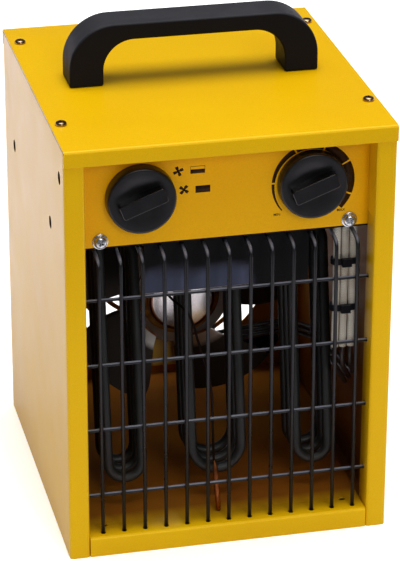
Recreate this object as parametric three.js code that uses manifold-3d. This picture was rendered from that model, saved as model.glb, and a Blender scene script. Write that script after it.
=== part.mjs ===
// Forced air heater with a folded sheet case, a wire grille, three coiled heating elements and a
// fan behind them. Millimetres, +X to the right, +Y to the back, +Z up. The case stands on z = 0
// and the whole heater, with its cord gland, is centred on the Z axis.

import * as THREE from "three";
import { mergeVertices } from "three/addons/utils/BufferGeometryUtils.js";
import Module from "manifold-3d";

const wasm = await Module();
wasm.setup();

// ---- Driving sizes ---------------------------------------------------------------------------

// Case
const CASE_WIDTH = 200;
const CASE_DEPTH = 213.6; // over the front and rear flanges
const SHEET = 1;
const FOLD = 2; // outer radius of a fold
const GAP = 0.3; // between pieces that lie against each other
const POST_WIDTH = 12.5; // front and rear flanges of a side panel
const RETURN_DEPTH = 15.7; // how far the front return flange goes back
const REST_FLANGE = 23; // bottom flange of a side panel, the face that the heater stands on
const TOP_FLANGE = 12;
const WALL_HOLE_RADIUS = 4;
// Open holes in the side walls, as [distance behind the front, distance below the lid]
const WALL_HOLES = [[177, 66], [14.4, 22], [47.8, 64]];
const FLOOR_HEIGHT = 13;
const FLOOR_HOLE_INSET = 11.5; // from the posts
const FLOOR_HOLE_BACK = 15;
const FLOOR_HOLE_RADIUS = 2;
const LIP_HEIGHT = 10.2; // front and rear lips of the lid

// Screws
const SCREW_RADIUS = 2;
const SCREW_CLEARANCE = 0.3; // between a shank and its hole
const LID_SCREW_HEAD = 3.5;
const LID_SCREW_INSET = 6.5; // from the side of the case
const LID_SCREW_FRONT = 41.5; // behind the front
const LID_SCREW_REAR = 28.6; // before the rear
const PANEL_SCREW_INSET = 11.5; // from the posts
const PANEL_SCREW_DROP = 5.3; // below the tray
const PANEL_SCREW_HEAD = 3.9;
const WASHER_RADIUS = 4.8;
const REAR_SCREW_LOW = 36; // lower pair, above the ground
const REAR_SCREW_DROP = 31; // upper pair, below the lid
const REAR_SCREW_HEAD = 3.5;
const SHORT_SCREW = 6; // shank of the lid and rear screws
const PANEL_SCREW = 7;
const HEAD_HEIGHT = 2.4;
const WASHER_THICKNESS = 0.8;

// Control panel and partition tray
const PANEL_DROP = 9; // lower edge, below the tray
const PANEL_WING = 12; // side flanges of the control panel
const TRAY_CLEARANCE = 5.3; // between the tray and the rotary switch
const LID_CLEARANCE = 22.7; // between the rotary switch and the lid
const TRAY_SKIRT = 10.5; // flanges turned down round the tray
const SHIELD_BACK = 29; // heat shield, behind the front
const SHIELD_LEFT = -47;
const SHIELD_RIGHT = 55;
const SHIELD_DROP = 49; // lower edge, below the tray
const SHIELD_FLANGE = 12.5; // under the tray

// Knobs and what they turn
const KNOB_X = 52;
const KNOB_HEIGHT = 230.3; // axes, above the ground
const KNOB_RADIUS = 21;
const KNOB_RIM = 7.5; // rim in front of the knob's back
const KNOB_GAP = 0.5; // between the knob and the panel
const KNOB_DISH = 3.6; // height of the pocket's floor above the knob's back
const KNOB_DISH_RADIUS = 16.5;
const GRIP_LENGTH = 29;
const GRIP_WIDTH = 8.4;
const GRIP_RISE = 12.5; // top of the grip above the knob's back
const GRIP_ANGLE = 21; // degrees, both grips point to the upper right
const SPINDLE_RADIUS = 3;
const SPINDLE_BUSH_RADIUS = 5;
const SWITCH_SIZE = 32;
const SWITCH_DEPTH = 22;
const THERMOSTAT_WIDTH = 34;
const THERMOSTAT_HEIGHT = 30;
const THERMOSTAT_DEPTH = 16;
const THERMOSTAT_DOME_RADIUS = 11;
const THERMOSTAT_DOME_RISE = 5;
const SWITCH_BORE = 12; // how deep the spindle goes in
const THERMOSTAT_BORE = 9;
const TAB_WIDTH = 6; // flat connector tabs
const TAB_THICKNESS = 0.8;
const TAB_LENGTH = 7;

// Handle
const HANDLE_SPAN = 155.2;
const HANDLE_FOOT = 21;
const HANDLE_RISE = 39; // above the lid
const HANDLE_BAR = 10.5;
const HANDLE_DEPTH = 25;
const HANDLE_BACK = 111; // centre, behind the front
const HANDLE_OUTER_RADIUS = 24;
const HANDLE_INNER_RADIUS = 18;
const HANDLE_EDGE = 1.2;
const HANDLE_SCREW_DEPTH = 14;
const HANDLE_SCREW_HEAD = 4.5;

// Front grille
const WIRE_RADIUS = 1.2;
const CROSS_WIRE_RADIUS = 1.1;
const WIRE_WELD = 0.4; // how deep the wires sink into each other
const WIRE_COUNT = 13;
const WIRE_MARGIN = 8.3; // from the posts to the first and last wire, on average
const WIRE_CENTRE = 1; // the middle wire stands right of the case's centre
const WIRE_BOTTOM_BACK = 6; // behind the front, at the floor
const WIRE_TOP_BACK = 10;
const WIRE_TOP_DROP = 7.5; // top bend, below the control panel
const TAIL_CLEARANCE = 3; // between the ends of the wires and the heat shield
const WIRE_TAIL_RISE = 2;
const WIRE_BEND = 5;
const WIRE_BELOW_FLOOR = 3;
const CROSS_WIRES = 4;
const CROSS_WIRE_FIRST = 25.2; // lowest one, above the floor
const CROSS_WIRE_LAST = 24.9; // highest one, below the top bend
const CROSS_WIRE_REACH = 4; // past the return flange

// Heating elements
const TUBE_RADIUS = 3.25;
const COIL_PITCH = 12; // from one turn to the next, to the back
const COIL_TURNS = 3;
const COIL_LIFT = 17; // lowest point, above the floor
const COIL_DROP = 23; // highest point, below the tray
const COIL_FRONT = 35; // behind the front, at the bottom of the first turn
const COIL_LEAN = 28; // how far the coil's top lies behind its bottom
const TERMINAL_HEIGHT = 14; // above the tray
const TERMINAL_PIN_RADIUS = 1.5;
const TERMINAL_PIN = 9;
const NUT_ACROSS_FLATS = 12;
const NUT_HEIGHT = 5;
const LEFT_ELEMENT_WIDTH = 28;
const LEFT_ELEMENT_INSET = 42; // centre, from the side of the case
const CENTRE_ELEMENT_WIDTH = 38;
const CENTRE_ELEMENT_X = 0.5;
const RIGHT_ELEMENT_WIDTH = 27;
const RIGHT_ELEMENT_INSET = 38;

// Thermostat sensor: a copper bulb that stands on the floor, and its thin tube
const BULB_X = -3;
const BULB_BACK = 17; // behind the front
const BULB_RADIUS = 1.7;
const BULB_HEIGHT = 34;
const BULB_LEAN = 2.4;
const CAPILLARY_RADIUS = 0.8;
const CAPILLARY_X = -31; // where it goes up through the tray
const CAPILLARY_CLEARANCE = 4.5; // behind the flange of the heat shield
const CAPILLARY_BEND = 8;

// Leads at the right
const SLEEVE_RADIUS = 2.3;
const SLEEVE_PITCH = 5;
const SLEEVE_INSET = 22; // middle sleeve, from the side of the case
const SLEEVE_CLEARANCE = 1.7; // behind the ends of the wires
const SLEEVE_DROP = 97; // lower end, below the tray
const SLEEVE_RISE = 3.6; // run to the terminal block, above the tray
const SLEEVE_BEND = 3.4;
const SLEEVE_NAMES = [1, 2, 3];
const LEAD_RADIUS = 1.5;
const LEAD_BEND = 12;
const LEAD_FROM_WALL = 9;
const UPPER_TIE_DROP = 38; // below the tray
const LOWER_TIE_DROP = 69;
const TIE_WIDTH = 4;
const TIE_THICKNESS = 1.2;
const TIE_LOCK = 6;
const BLOCK_WIDTH = 30; // terminal block
const BLOCK_DEPTH = 18;
const BLOCK_HEIGHT = 17;
const BLOCK_CLEARANCE = 1; // before the last element nut
const BLOCK_PITCH = 9;
const BLOCK_SCREW_RADIUS = 1.9;

// Overheat limiter on the tray
const LIMITER_X = -10;
const LIMITER_BACK = 112;
const LIMITER_RADIUS = 9;
const LIMITER_BASE = 6;
const LIMITER_CAP_RADIUS = 6.5;
const LIMITER_HEIGHT = 11;
const LIMITER_EAR = 14;
const LIMITER_EAR_WIDTH = 7;

// Fan and motor
const FAN_BELOW_MIDDLE = 1.75; // axis, below the middle of the air duct
const FAN_TO_STATOR = 34; // from the hub's face to the laminations
const FAN_RADIUS = 75;
const FAN_BLADES = 5;
const BLADE_THICKNESS = 1.4;
const BLADE_ROOT = 30;
const BLADE_PITCH = 27; // degrees at the middle of the blade
const BLADE_SPAN = 50; // degrees round the hub
const HUB_FRONT_RADIUS = 22; // the hub's three steps, from the front
const HUB_MIDDLE_RADIUS = 26;
const HUB_RADIUS = 34;
const HUB_STEP = 4;
const HUB_FRONT_ROUND = 2;
const HUB_ROUND = 1;
const HUB_WALL = 1.4;
const HUB_BOSS_RADIUS = 6;
const FAN_NUT_ACROSS_FLATS = 9;
const FAN_NUT_HEIGHT = 4;
const SHAFT_PROUD = 7; // in front of the hub
const SHAFT_RADIUS = 2.5;
const ROTOR_RADIUS = 13;
const ROTOR_GAP = 0.5;
const STATOR_TO_REAR = 25.6; // from the laminations to the rear of the case
const STATOR_STACK = 20;
const STATOR_WIDTH = 60;
const STATOR_ABOVE = 25;
const STATOR_BELOW = 52;
const YOKE_HEIGHT = 12;
const LEG_WIDTH = 11;
const POLE_BELOW = 23; // lower edge of the block round the rotor, below the axis
const COIL_CLEARANCE = 2; // between the winding and the stator's legs
const COIL_OVERHANG = 8;
const BRACKET_WIDTH = 18;
const BRACKET_RISE = 8;
const BRACKET_SHEET = 2;
const BRACKET_FOLD = 1.5;
const BRACKET_INSET = 1; // from the sides of the stator
const BRACKET_SLOPE = 4;
const BRACKET_EDGE = 5; // from a screw's axis to the upper edge
const BRACKET_CREASE = 6; // from a screw's axis to the first fold
const BEARING_RADIUS = 8;
const BEARING_LENGTH = 8;
const MOTOR_SCREW_X = 22;
const MOTOR_SCREW_LIFT = 18; // above the shaft
const SPACER_RADIUS = 4.5;

// Air inlet in the rear panel
const INLET_FIRST = 24; // inner radius of the first ring of slots
const INLET_SLOT = 9.4;
const INLET_RIB = 3;
const INLET_RINGS = 5;
const INLET_SPOKES = 6;
const INLET_SPOKE_WIDTH = 6;

// Cord gland at the rear
const GLAND_INSET = 28; // axis, from the side of the case
const GLAND_HEIGHT = 33;
const GLAND_RADIUS = 8;
const GLAND_BORE = 4.5;
const GLAND_ACROSS_FLATS = 22;
const GLAND_FLANGE = 4;
const GLAND_DOME = 10;
const GLAND_LOCK_NUT = 5;
const GLAND_INSIDE = 8;

// Facets
const FOLD_STEPS = 2;
const KNOB_ROUND = 28;
const ROUND = 22;
const MEDIUM_ROUND = 14;
const HEAD_ROUND = 10;
const SMALL_ROUND = 8;
const WIRE_SIDES = 6;
const TUBE_SIDES = 7;

// ---- Derived places --------------------------------------------------------------------------

const HALF_WIDTH = CASE_WIDTH / 2;
const CASE_HEIGHT = KNOB_HEIGHT + SWITCH_SIZE / 2 + LID_CLEARANCE; // ground to lid
const FRONT = -CASE_DEPTH / 2;
const REAR = CASE_DEPTH / 2;
const WALL_INSIDE = HALF_WIDTH - SHEET;
const POST_INSIDE = HALF_WIDTH - POST_WIDTH;
const PANEL_SCREW_X = POST_INSIDE - PANEL_SCREW_INSET;
const FLOOR_HOLE_X = POST_INSIDE - FLOOR_HOLE_INSET;
const INNER_HALF = WALL_INSIDE - GAP; // half width of what stands between the side walls
const SIDE_TOP = CASE_HEIGHT - SHEET;
const PANEL_SETBACK = RETURN_DEPTH + GAP; // front face, behind the front of the case
const TRAY_HEIGHT = KNOB_HEIGHT - SWITCH_SIZE / 2 - TRAY_CLEARANCE;
const PANEL_BOTTOM = TRAY_HEIGHT - PANEL_DROP;
const PANEL_SCREW_HEIGHT = TRAY_HEIGHT - PANEL_SCREW_DROP;
const REAR_SCREW_HEIGHTS = [REAR_SCREW_LOW, CASE_HEIGHT - REAR_SCREW_DROP];
const SHIELD_BOTTOM = TRAY_HEIGHT - SHIELD_DROP;
const COIL_BOTTOM = FLOOR_HEIGHT + COIL_LIFT;
const COIL_TOP = TRAY_HEIGHT - COIL_DROP;
const SLEEVE_BOTTOM = TRAY_HEIGHT - SLEEVE_DROP;
const SLEEVE_X = HALF_WIDTH - SLEEVE_INSET;
const FAN_HEIGHT = (FLOOR_HEIGHT + TRAY_HEIGHT - TRAY_SKIRT) / 2 - FAN_BELOW_MIDDLE;
const STATOR_REAR = CASE_DEPTH - STATOR_TO_REAR; // behind the front, as the next two
const STATOR_FRONT = STATOR_REAR - STATOR_STACK;
const FAN_BACK = STATOR_FRONT - FAN_TO_STATOR;
const WIRE_TOP = PANEL_BOTTOM - WIRE_TOP_DROP;
const WIRE_TAIL = SHIELD_BACK - WIRE_TOP_BACK - TAIL_CLEARANCE; // run above the top bend
const WIRE_PITCH = (2 * (POST_INSIDE - WIRE_MARGIN)) / (WIRE_COUNT - 1);
const SHIELD_HEM = 2 * FOLD; // bent fully round
const CAPILLARY_BACK = SHIELD_BACK + SHIELD_FLANGE + CAPILLARY_CLEARANCE;
const SLEEVE_BACK = WIRE_TOP_BACK + WIRE_TAIL + SLEEVE_CLEARANCE + SLEEVE_RADIUS;
const LAST_NUT_BACK = COIL_FRONT + COIL_LEAN + (COIL_TURNS - 1) * COIL_PITCH;
const NUT_CORNER = NUT_ACROSS_FLATS / Math.sqrt(3);
const BLOCK_BACK = LAST_NUT_BACK - NUT_CORNER - BLOCK_CLEARANCE - BLOCK_DEPTH;
const COIL_WIDTH = STATOR_WIDTH - 2 * LEG_WIDTH - 2 * COIL_CLEARANCE;
const GLAND_X = HALF_WIDTH - GLAND_INSET;
const ELEMENTS = [
  { name: "left", centre: LEFT_ELEMENT_INSET - HALF_WIDTH, width: LEFT_ELEMENT_WIDTH },
  { name: "centre", centre: CENTRE_ELEMENT_X, width: CENTRE_ELEMENT_WIDTH },
  { name: "right", centre: HALF_WIDTH - RIGHT_ELEMENT_INSET, width: RIGHT_ELEMENT_WIDTH },
];
const behind = (distance) => FRONT + distance;
const PANEL_FACE = behind(PANEL_SETBACK);
const PANEL_BACK = PANEL_FACE + SHEET;
const REAR_FACE = REAR - SHEET; // outer face of the rear panel
const REAR_INSIDE = REAR_FACE - SHEET;
const PANEL_TOP = SIDE_TOP - SHEET - GAP;
const SCREW_HOLE = SCREW_RADIUS + SCREW_CLEARANCE;
const KNOB_BACK = PANEL_FACE - KNOB_GAP;
const SPINDLE_BORE = SPINDLE_RADIUS + GAP;
const GLAND_END = REAR_FACE + GLAND_FLANGE + GAP + GLAND_DOME;
const LID_FRONT = FRONT - GAP - SHEET;
const CENTRING = -(GLAND_END + LID_FRONT) / 2;

// ---- Materials -------------------------------------------------------------------------------

function finish(color, roughness, metalness) {
  return new THREE.MeshStandardMaterial({ color, roughness, metalness });
}

const YELLOW_PAINT = finish(0xe6b015, 0.4, 0);
const PANEL_PAINT = finish(0xe09c16, 0.45, 0);
const BLACK_PLASTIC = finish(0x151617, 0.5, 0);
const BLACK_WIRE = finish(0x1a1a1c, 0.4, 0.3);
const ELEMENT_STEEL = finish(0x24221f, 0.45, 0.7);
const ZINC = finish(0xc5c9cc, 0.3, 1);
const DARK_SCREW = finish(0x2a2620, 0.35, 0.8);
const ALUMINIUM = finish(0xd2d4d6, 0.25, 1);
const COPPER = finish(0xb5653a, 0.35, 1);
const LAMINATION = finish(0x6d7073, 0.5, 0.9);
const STEEL = finish(0xa9adb0, 0.35, 1);
const WHITE_SLEEVE = finish(0xe9e6dd, 0.8, 0);
const SWITCH_PLASTIC = finish(0xd9d6cc, 0.5, 0);
const GALVANISED = finish(0xb3b8ba, 0.4, 0.9);
const DARK_SHEET = finish(0x20252c, 0.25, 0.6);
const COIL_TAPE = finish(0xb98a2e, 0.6, 0);
const BRASS = finish(0xc9a04a, 0.35, 1);

// ---- Tools -----------------------------------------------------------------------------------

const heater = new THREE.Group();

// A closed geometry as a solid for joins and cuts, turned to face outward.
function solid(geometry) {
  const bare = new THREE.BufferGeometry();
  bare.setAttribute("position", geometry.getAttribute("position").clone());
  bare.setIndex(geometry.index);
  const merged = mergeVertices(bare, 1e-3);
  const points = merged.getAttribute("position").array;
  const corner = (i) => new THREE.Vector3().fromArray(points, 3 * i);
  const triangles = [];
  let volume = 0;
  for (let i = 0; i < merged.index.count; i += 3) {
    const [a, b, c] = [0, 1, 2].map((k) => merged.index.getX(i + k));
    if (a !== b && b !== c && c !== a) {
      triangles.push(a, b, c);
      volume += corner(a).dot(corner(b).cross(corner(c)));
    }
  }
  if (volume < 0) {
    triangles.reverse();
  }
  return new wasm.Manifold(new wasm.Mesh({
    numProp: 3,
    vertProperties: Float32Array.from(points),
    triVerts: Uint32Array.from(triangles),
  }));
}

function join(pieces) {
  return pieces.reduce((sum, piece) => sum.add(piece));
}

function cut(body, tools) {
  return tools.reduce((rest, tool) => rest.subtract(tool), body);
}

// Adds one named piece to the heater.
function addPiece(name, body, material, place = [0, 0, 0]) {
  const mesh = body.getMesh();
  const geometry = new THREE.BufferGeometry();
  geometry.setAttribute("position", new THREE.BufferAttribute(mesh.vertProperties, 3));
  geometry.setIndex(new THREE.BufferAttribute(mesh.triVerts, 1));
  geometry.computeVertexNormals();
  const piece = new THREE.Mesh(geometry, material);
  piece.name = name;
  piece.position.set(...place);
  heater.add(piece);
}

function box(low, high) {
  const size = high.map((value, i) => value - low[i]);
  const middle = high.map((value, i) => (value + low[i]) / 2);
  return solid(new THREE.BoxGeometry(...size).translate(...middle));
}

// Extrusions of an outline along each axis. The outline's own x and y become (X, Y) along Z,
// (Y, Z) along X and (X, Z) along Y.
function alongZ(shape, from, to, steps = 8) {
  const options = { depth: to - from, bevelEnabled: false, curveSegments: steps };
  return new THREE.ExtrudeGeometry(shape, options).translate(0, 0, from);
}

const X_AXIS = new THREE.Vector3(1, 0, 0);
const Y_AXIS = new THREE.Vector3(0, 1, 0);
const Z_AXIS = new THREE.Vector3(0, 0, 1);

function alongX(shape, from, to, steps = 8) {
  const turn = new THREE.Matrix4().makeBasis(Y_AXIS, Z_AXIS, X_AXIS);
  return alongZ(shape, from, to, steps).applyMatrix4(turn);
}

function alongY(shape, from, to, steps = 8) {
  const turn = new THREE.Matrix4().makeBasis(X_AXIS, Z_AXIS, Y_AXIS.clone().negate());
  return alongZ(shape, -to, -from, steps).applyMatrix4(turn);
}

// A turned piece. The profile is a list of [radius, place along the axis].
function turned(profile, facets = ROUND) {
  const points = profile.map(([radius, place]) => new THREE.Vector2(radius, place));
  return new THREE.LatheGeometry([...points, points[0].clone()], facets);
}

const turnedAlongY = (profile, facets) => solid(turned(profile, facets));
const turnedAlongZ = (profile, facets) => solid(turned(profile, facets).rotateX(Math.PI / 2));
const turnedAlongX = (profile, facets) => solid(turned(profile, facets).rotateZ(-Math.PI / 2));

function rod(radius, from, to) {
  return [[0, from], [radius, from], [radius, to], [0, to]];
}

function ring(inner, outer, from, to) {
  return [[inner, from], [outer, from], [outer, to], [inner, to]];
}

function circle(x, y, radius) {
  const path = new THREE.Path();
  path.absarc(x, y, radius, 0, 2 * Math.PI, true);
  return path;
}

function rectangle(left, bottom, right, top) {
  const shape = new THREE.Shape();
  shape.moveTo(left, bottom);
  shape.lineTo(right, bottom);
  shape.lineTo(right, top);
  shape.lineTo(left, top);
  shape.closePath();
  return shape;
}

function roundedRectangle(width, height, radius) {
  const x = width / 2 - radius;
  const y = height / 2 - radius;
  const shape = new THREE.Shape();
  shape.absarc(x, -y, radius, -Math.PI / 2, 0);
  shape.absarc(x, y, radius, 0, Math.PI / 2);
  shape.absarc(-x, y, radius, Math.PI / 2, Math.PI);
  shape.absarc(-x, -y, radius, Math.PI, 1.5 * Math.PI);
  shape.closePath();
  return shape;
}

function hexagon(acrossFlats, bore) {
  const radius = acrossFlats / Math.sqrt(3);
  const shape = new THREE.Shape();
  for (let side = 0; side < 6; side += 1) {
    const angle = (side * Math.PI) / 3;
    const corner = [radius * Math.cos(angle), radius * Math.sin(angle)];
    if (side === 0) {
      shape.moveTo(...corner);
    } else {
      shape.lineTo(...corner);
    }
  }
  shape.closePath();
  shape.holes.push(circle(0, 0, bore));
  return shape;
}

// Outline of a sheet folded along a path. The path lies on one face of the sheet, and the
// thickness goes to the left of the path. Every fold has the outer radius FOLD.
function foldedSheet(corners, thickness = SHEET) {
  const points = corners.map(([x, y]) => new THREE.Vector2(x, y));
  const face = [];
  const back = [];
  const leftOf = (way) => new THREE.Vector2(-way.y, way.x);
  const wayTo = (i) => points[i + 1].clone().sub(points[i]).normalize();
  const add = (point, normal) => {
    face.push(point);
    back.push(point.clone().addScaledVector(normal, thickness));
  };
  add(points[0], leftOf(wayTo(0)));
  for (let i = 1; i < points.length - 1; i += 1) {
    const before = wayTo(i - 1);
    const after = wayTo(i);
    const side = Math.sign(before.cross(after));
    const radius = side > 0 ? FOLD : FOLD - thickness;
    const angle = Math.acos(before.dot(after));
    const start = points[i].clone().addScaledVector(before, -radius * Math.tan(angle / 2));
    const centre = start.addScaledVector(leftOf(before), side * radius);
    for (let step = 0; step <= FOLD_STEPS; step += 1) {
      const normal = leftOf(before).rotateAround(
        new THREE.Vector2(), (side * angle * step) / FOLD_STEPS);
      add(centre.clone().addScaledVector(normal, -side * radius), normal);
    }
  }
  add(points[points.length - 1], leftOf(wayTo(points.length - 2)));
  return new THREE.Shape([...face, ...back.reverse()]);
}

// A path through the given corners with each one rounded.
function roundedPath(corners, radius, steps = 4) {
  const points = corners.map((corner) => new THREE.Vector3(...corner));
  const path = [points[0]];
  for (let i = 1; i < points.length - 1; i += 1) {
    const before = points[i - 1].clone().sub(points[i]);
    const after = points[i + 1].clone().sub(points[i]);
    const setback = Math.min(radius, before.length() * 0.45, after.length() * 0.45);
    const start = points[i].clone().addScaledVector(before.normalize(), setback);
    const end = points[i].clone().addScaledVector(after.normalize(), setback);
    const bend = new THREE.QuadraticBezierCurve3(start, points[i], end);
    path.push(...bend.getPoints(steps));
  }
  path.push(points[points.length - 1]);
  return path;
}

// A closed round bar through the points. A radius can be one value or one for each point.
function bar(points, radius, sides = 8) {
  const radii = Array.isArray(radius) ? radius : points.map(() => radius);
  const positions = [];
  const triangles = [];
  let across = null;
  let way = null;
  points.forEach((point, i) => {
    const into = point.clone().sub(points[Math.max(i - 1, 0)]).normalize();
    const out = points[Math.min(i + 1, points.length - 1)].clone().sub(point).normalize();
    const next = into.clone().add(out).normalize();
    if (across === null) {
      across = Math.abs(next.x) < 0.9 ? X_AXIS.clone() : Y_AXIS.clone();
    } else {
      across.applyQuaternion(new THREE.Quaternion().setFromUnitVectors(way, next));
    }
    way = next;
    across.addScaledVector(way, -across.dot(way)).normalize();
    const up = way.clone().cross(across);
    for (let side = 0; side < sides; side += 1) {
      const angle = (2 * Math.PI * (side + 0.5)) / sides;
      const spoke = across.clone().multiplyScalar(Math.cos(angle) * radii[i]);
      spoke.addScaledVector(up, Math.sin(angle) * radii[i]);
      positions.push(...point.clone().add(spoke).toArray());
    }
  });
  for (let i = 0; i < points.length - 1; i += 1) {
    for (let side = 0; side < sides; side += 1) {
      const here = i * sides + side;
      const beside = i * sides + ((side + 1) % sides);
      triangles.push(here, beside, beside + sides, here, beside + sides, here + sides);
    }
  }
  const last = (points.length - 1) * sides;
  for (let side = 1; side < sides - 1; side += 1) {
    triangles.push(0, side + 1, side, last, last + side, last + side + 1);
  }
  const geometry = new THREE.BufferGeometry();
  geometry.setAttribute("position", new THREE.Float32BufferAttribute(positions, 3));
  geometry.setIndex(triangles);
  return solid(geometry);
}

// The other hand of a piece, mirrored left to right.
function mirrored(body) {
  const mesh = body.getMesh();
  const geometry = new THREE.BufferGeometry();
  geometry.setAttribute("position", new THREE.BufferAttribute(mesh.vertProperties, 3));
  geometry.setIndex(new THREE.BufferAttribute(mesh.triVerts, 1));
  return solid(geometry.scale(-1, 1, 1));
}

// A pan head with its shank. The head's seat lies at 0 and the shank runs to minus length.
function screwProfile(headRadius, shankRadius, length, headHeight = HEAD_HEIGHT) {
  return [
    [0, -length],
    [shankRadius, -length],
    [shankRadius, 0],
    [headRadius, 0],
    [headRadius, 0.35 * headHeight],
    [0.8 * headRadius, 0.8 * headHeight],
    [0.4 * headRadius, headHeight],
    [0, headHeight],
  ];
}

// ---- Case ------------------------------------------------------------------------------------

function wireHeightToBack(height) {
  const rise = (height - FLOOR_HEIGHT) / (WIRE_TOP - FLOOR_HEIGHT);
  return behind(WIRE_BOTTOM_BACK + rise * (WIRE_TOP_BACK - WIRE_BOTTOM_BACK));
}

// Heights of the cross wires, evenly spaced.
function crossWireHeights() {
  const first = FLOOR_HEIGHT + CROSS_WIRE_FIRST;
  const last = WIRE_TOP - CROSS_WIRE_LAST;
  const step = (last - first) / (CROSS_WIRES - 1);
  return Array.from({ length: CROSS_WIRES }, (_, i) => first + i * step);
}

function crossWireBack(height) {
  return wireHeightToBack(height) + WIRE_RADIUS + CROSS_WIRE_RADIUS - WIRE_WELD;
}

function sidePanel() {
  const plan = foldedSheet([
    [POST_INSIDE, FRONT + RETURN_DEPTH],
    [POST_INSIDE, FRONT],
    [HALF_WIDTH, FRONT],
    [HALF_WIDTH, REAR],
    [POST_INSIDE, REAR],
  ]);
  const wall = solid(alongZ(plan, 0, SIDE_TOP));
  const insideWall = HALF_WIDTH - SHEET / 2;
  const flangeFront = FRONT + SHEET + GAP;
  const flangeRear = REAR_INSIDE - GAP;
  const rest = box([HALF_WIDTH - REST_FLANGE - SHEET, flangeFront, 0], [insideWall, flangeRear, SHEET]);
  const top = box([WALL_INSIDE - TOP_FLANGE, flangeFront, SIDE_TOP - SHEET],
    [insideWall, flangeRear, SIDE_TOP]);
  const holes = WALL_HOLES.map(([back, drop]) => turnedAlongX(
    rod(WALL_HOLE_RADIUS, WALL_INSIDE - SHEET / 2, HALF_WIDTH + SHEET), MEDIUM_ROUND)
    .translate([0, behind(back), CASE_HEIGHT - drop]));
  const wireHoles = crossWireHeights().map((height) => turnedAlongX(
    rod(CROSS_WIRE_RADIUS + 1.8 * GAP, POST_INSIDE - SHEET, POST_INSIDE + 2 * SHEET), WIRE_SIDES)
    .translate([0, crossWireBack(height), height]));
  const lidHoles = lidScrewBacks().map((back) => turnedAlongZ(
    rod(SCREW_HOLE, SIDE_TOP - 2 * SHEET, SIDE_TOP + SHEET), SMALL_ROUND)
    .translate([HALF_WIDTH - LID_SCREW_INSET, back, 0]));
  const rearHoles = REAR_SCREW_HEIGHTS.map((height) => turnedAlongY(
    rod(SCREW_HOLE, REAR_FACE - SHEET, REAR + SHEET), SMALL_ROUND)
    .translate([HALF_WIDTH - LID_SCREW_INSET, 0, height]));
  // Small corner notches make room for the folds of the lid.
  const relief = FOLD - SHEET + GAP;
  const notches = [FRONT, REAR].map((y) => box([0, y - relief, SIDE_TOP - relief],
    [CASE_WIDTH, y + relief, CASE_HEIGHT]));
  return cut(join([wall, rest, top]),
    [...notches, ...holes, ...wireHoles, ...lidHoles, ...rearHoles]);
}

function lidScrewBacks() {
  return [behind(LID_SCREW_FRONT), REAR - LID_SCREW_REAR];
}

function wireXs() {
  const middle = (WIRE_COUNT - 1) / 2;
  return Array.from({ length: WIRE_COUNT }, (_, i) => WIRE_CENTRE + (i - middle) * WIRE_PITCH);
}

function basePlate() {
  const half = POST_INSIDE - GAP;
  const section = foldedSheet([[REAR, 0], [REAR, FLOOR_HEIGHT], [FRONT, FLOOR_HEIGHT], [FRONT, 0]]);
  const floor = solid(alongX(section, -half, half));
  const front = FRONT + SHEET / 2;
  const rear = REAR - SHEET / 2;
  const sides = [-1, 1].map((hand) => {
    const xs = [hand * half, hand * (half - SHEET)].sort((a, b) => a - b);
    return box([xs[0], front, SHEET], [xs[1], rear, FLOOR_HEIGHT - SHEET / 2]);
  });
  const wireHoles = wireXs().map((x) => turnedAlongZ(
    rod(WIRE_RADIUS + 1.6 * GAP, FLOOR_HEIGHT - 2 * SHEET, FLOOR_HEIGHT + SHEET), WIRE_SIDES)
    .translate([x, wireHeightToBack(FLOOR_HEIGHT), 0]));
  const screwHoles = [-FLOOR_HOLE_X, FLOOR_HOLE_X].map((x) => turnedAlongZ(
    rod(FLOOR_HOLE_RADIUS, FLOOR_HEIGHT - 2 * SHEET, FLOOR_HEIGHT + SHEET), SMALL_ROUND)
    .translate([x, behind(FLOOR_HOLE_BACK), 0]));
  return cut(join([floor, ...sides]), [...wireHoles, ...screwHoles]);
}

function topCover() {
  const lipBottom = CASE_HEIGHT - LIP_HEIGHT;
  const rear = REAR + GAP + SHEET;
  const section = foldedSheet([
    [rear, lipBottom], [rear, CASE_HEIGHT], [LID_FRONT, CASE_HEIGHT], [LID_FRONT, lipBottom]]);
  const plate = solid(alongX(section, -HALF_WIDTH, HALF_WIDTH));
  const hole = (x, y) => turnedAlongZ(
    rod(SCREW_HOLE, SIDE_TOP - SHEET, CASE_HEIGHT + SHEET), SMALL_ROUND).translate([x, y, 0]);
  const corner = HALF_WIDTH - LID_SCREW_INSET;
  const lidHoles = lidScrewBacks().flatMap((y) => [hole(-corner, y), hole(corner, y)]);
  const handleHoles = handleFeet().map((x) => hole(x, behind(HANDLE_BACK)));
  return cut(plate, [...lidHoles, ...handleHoles]);
}

function controlPanel() {
  const wingEnd = PANEL_FACE + PANEL_WING;
  const plan = foldedSheet([
    [-INNER_HALF, wingEnd], [-INNER_HALF, PANEL_FACE], [INNER_HALF, PANEL_FACE], [INNER_HALF, wingEnd]]);
  const plate = solid(alongZ(plan, PANEL_BOTTOM, PANEL_TOP));
  // The side flanges stop above the tray, which stands between the side walls there.
  const notch = box([-HALF_WIDTH, PANEL_BACK, PANEL_BOTTOM - SHEET],
    [HALF_WIDTH, wingEnd + SHEET, TRAY_HEIGHT + GAP]);
  const bushHoles = [-KNOB_X, KNOB_X].map((x) => turnedAlongY(
    rod(SPINDLE_BUSH_RADIUS + 2 * GAP, PANEL_FACE - SHEET, PANEL_BACK + SHEET), MEDIUM_ROUND)
    .translate([x, 0, KNOB_HEIGHT]));
  const screwHoles = [-PANEL_SCREW_X, PANEL_SCREW_X].map((x) => turnedAlongY(
    rod(SCREW_HOLE, PANEL_FACE - SHEET, PANEL_BACK + SHEET), SMALL_ROUND)
    .translate([x, 0, PANEL_SCREW_HEIGHT]));
  return cut(plate, [notch, ...bushHoles, ...screwHoles]);
}

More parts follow.
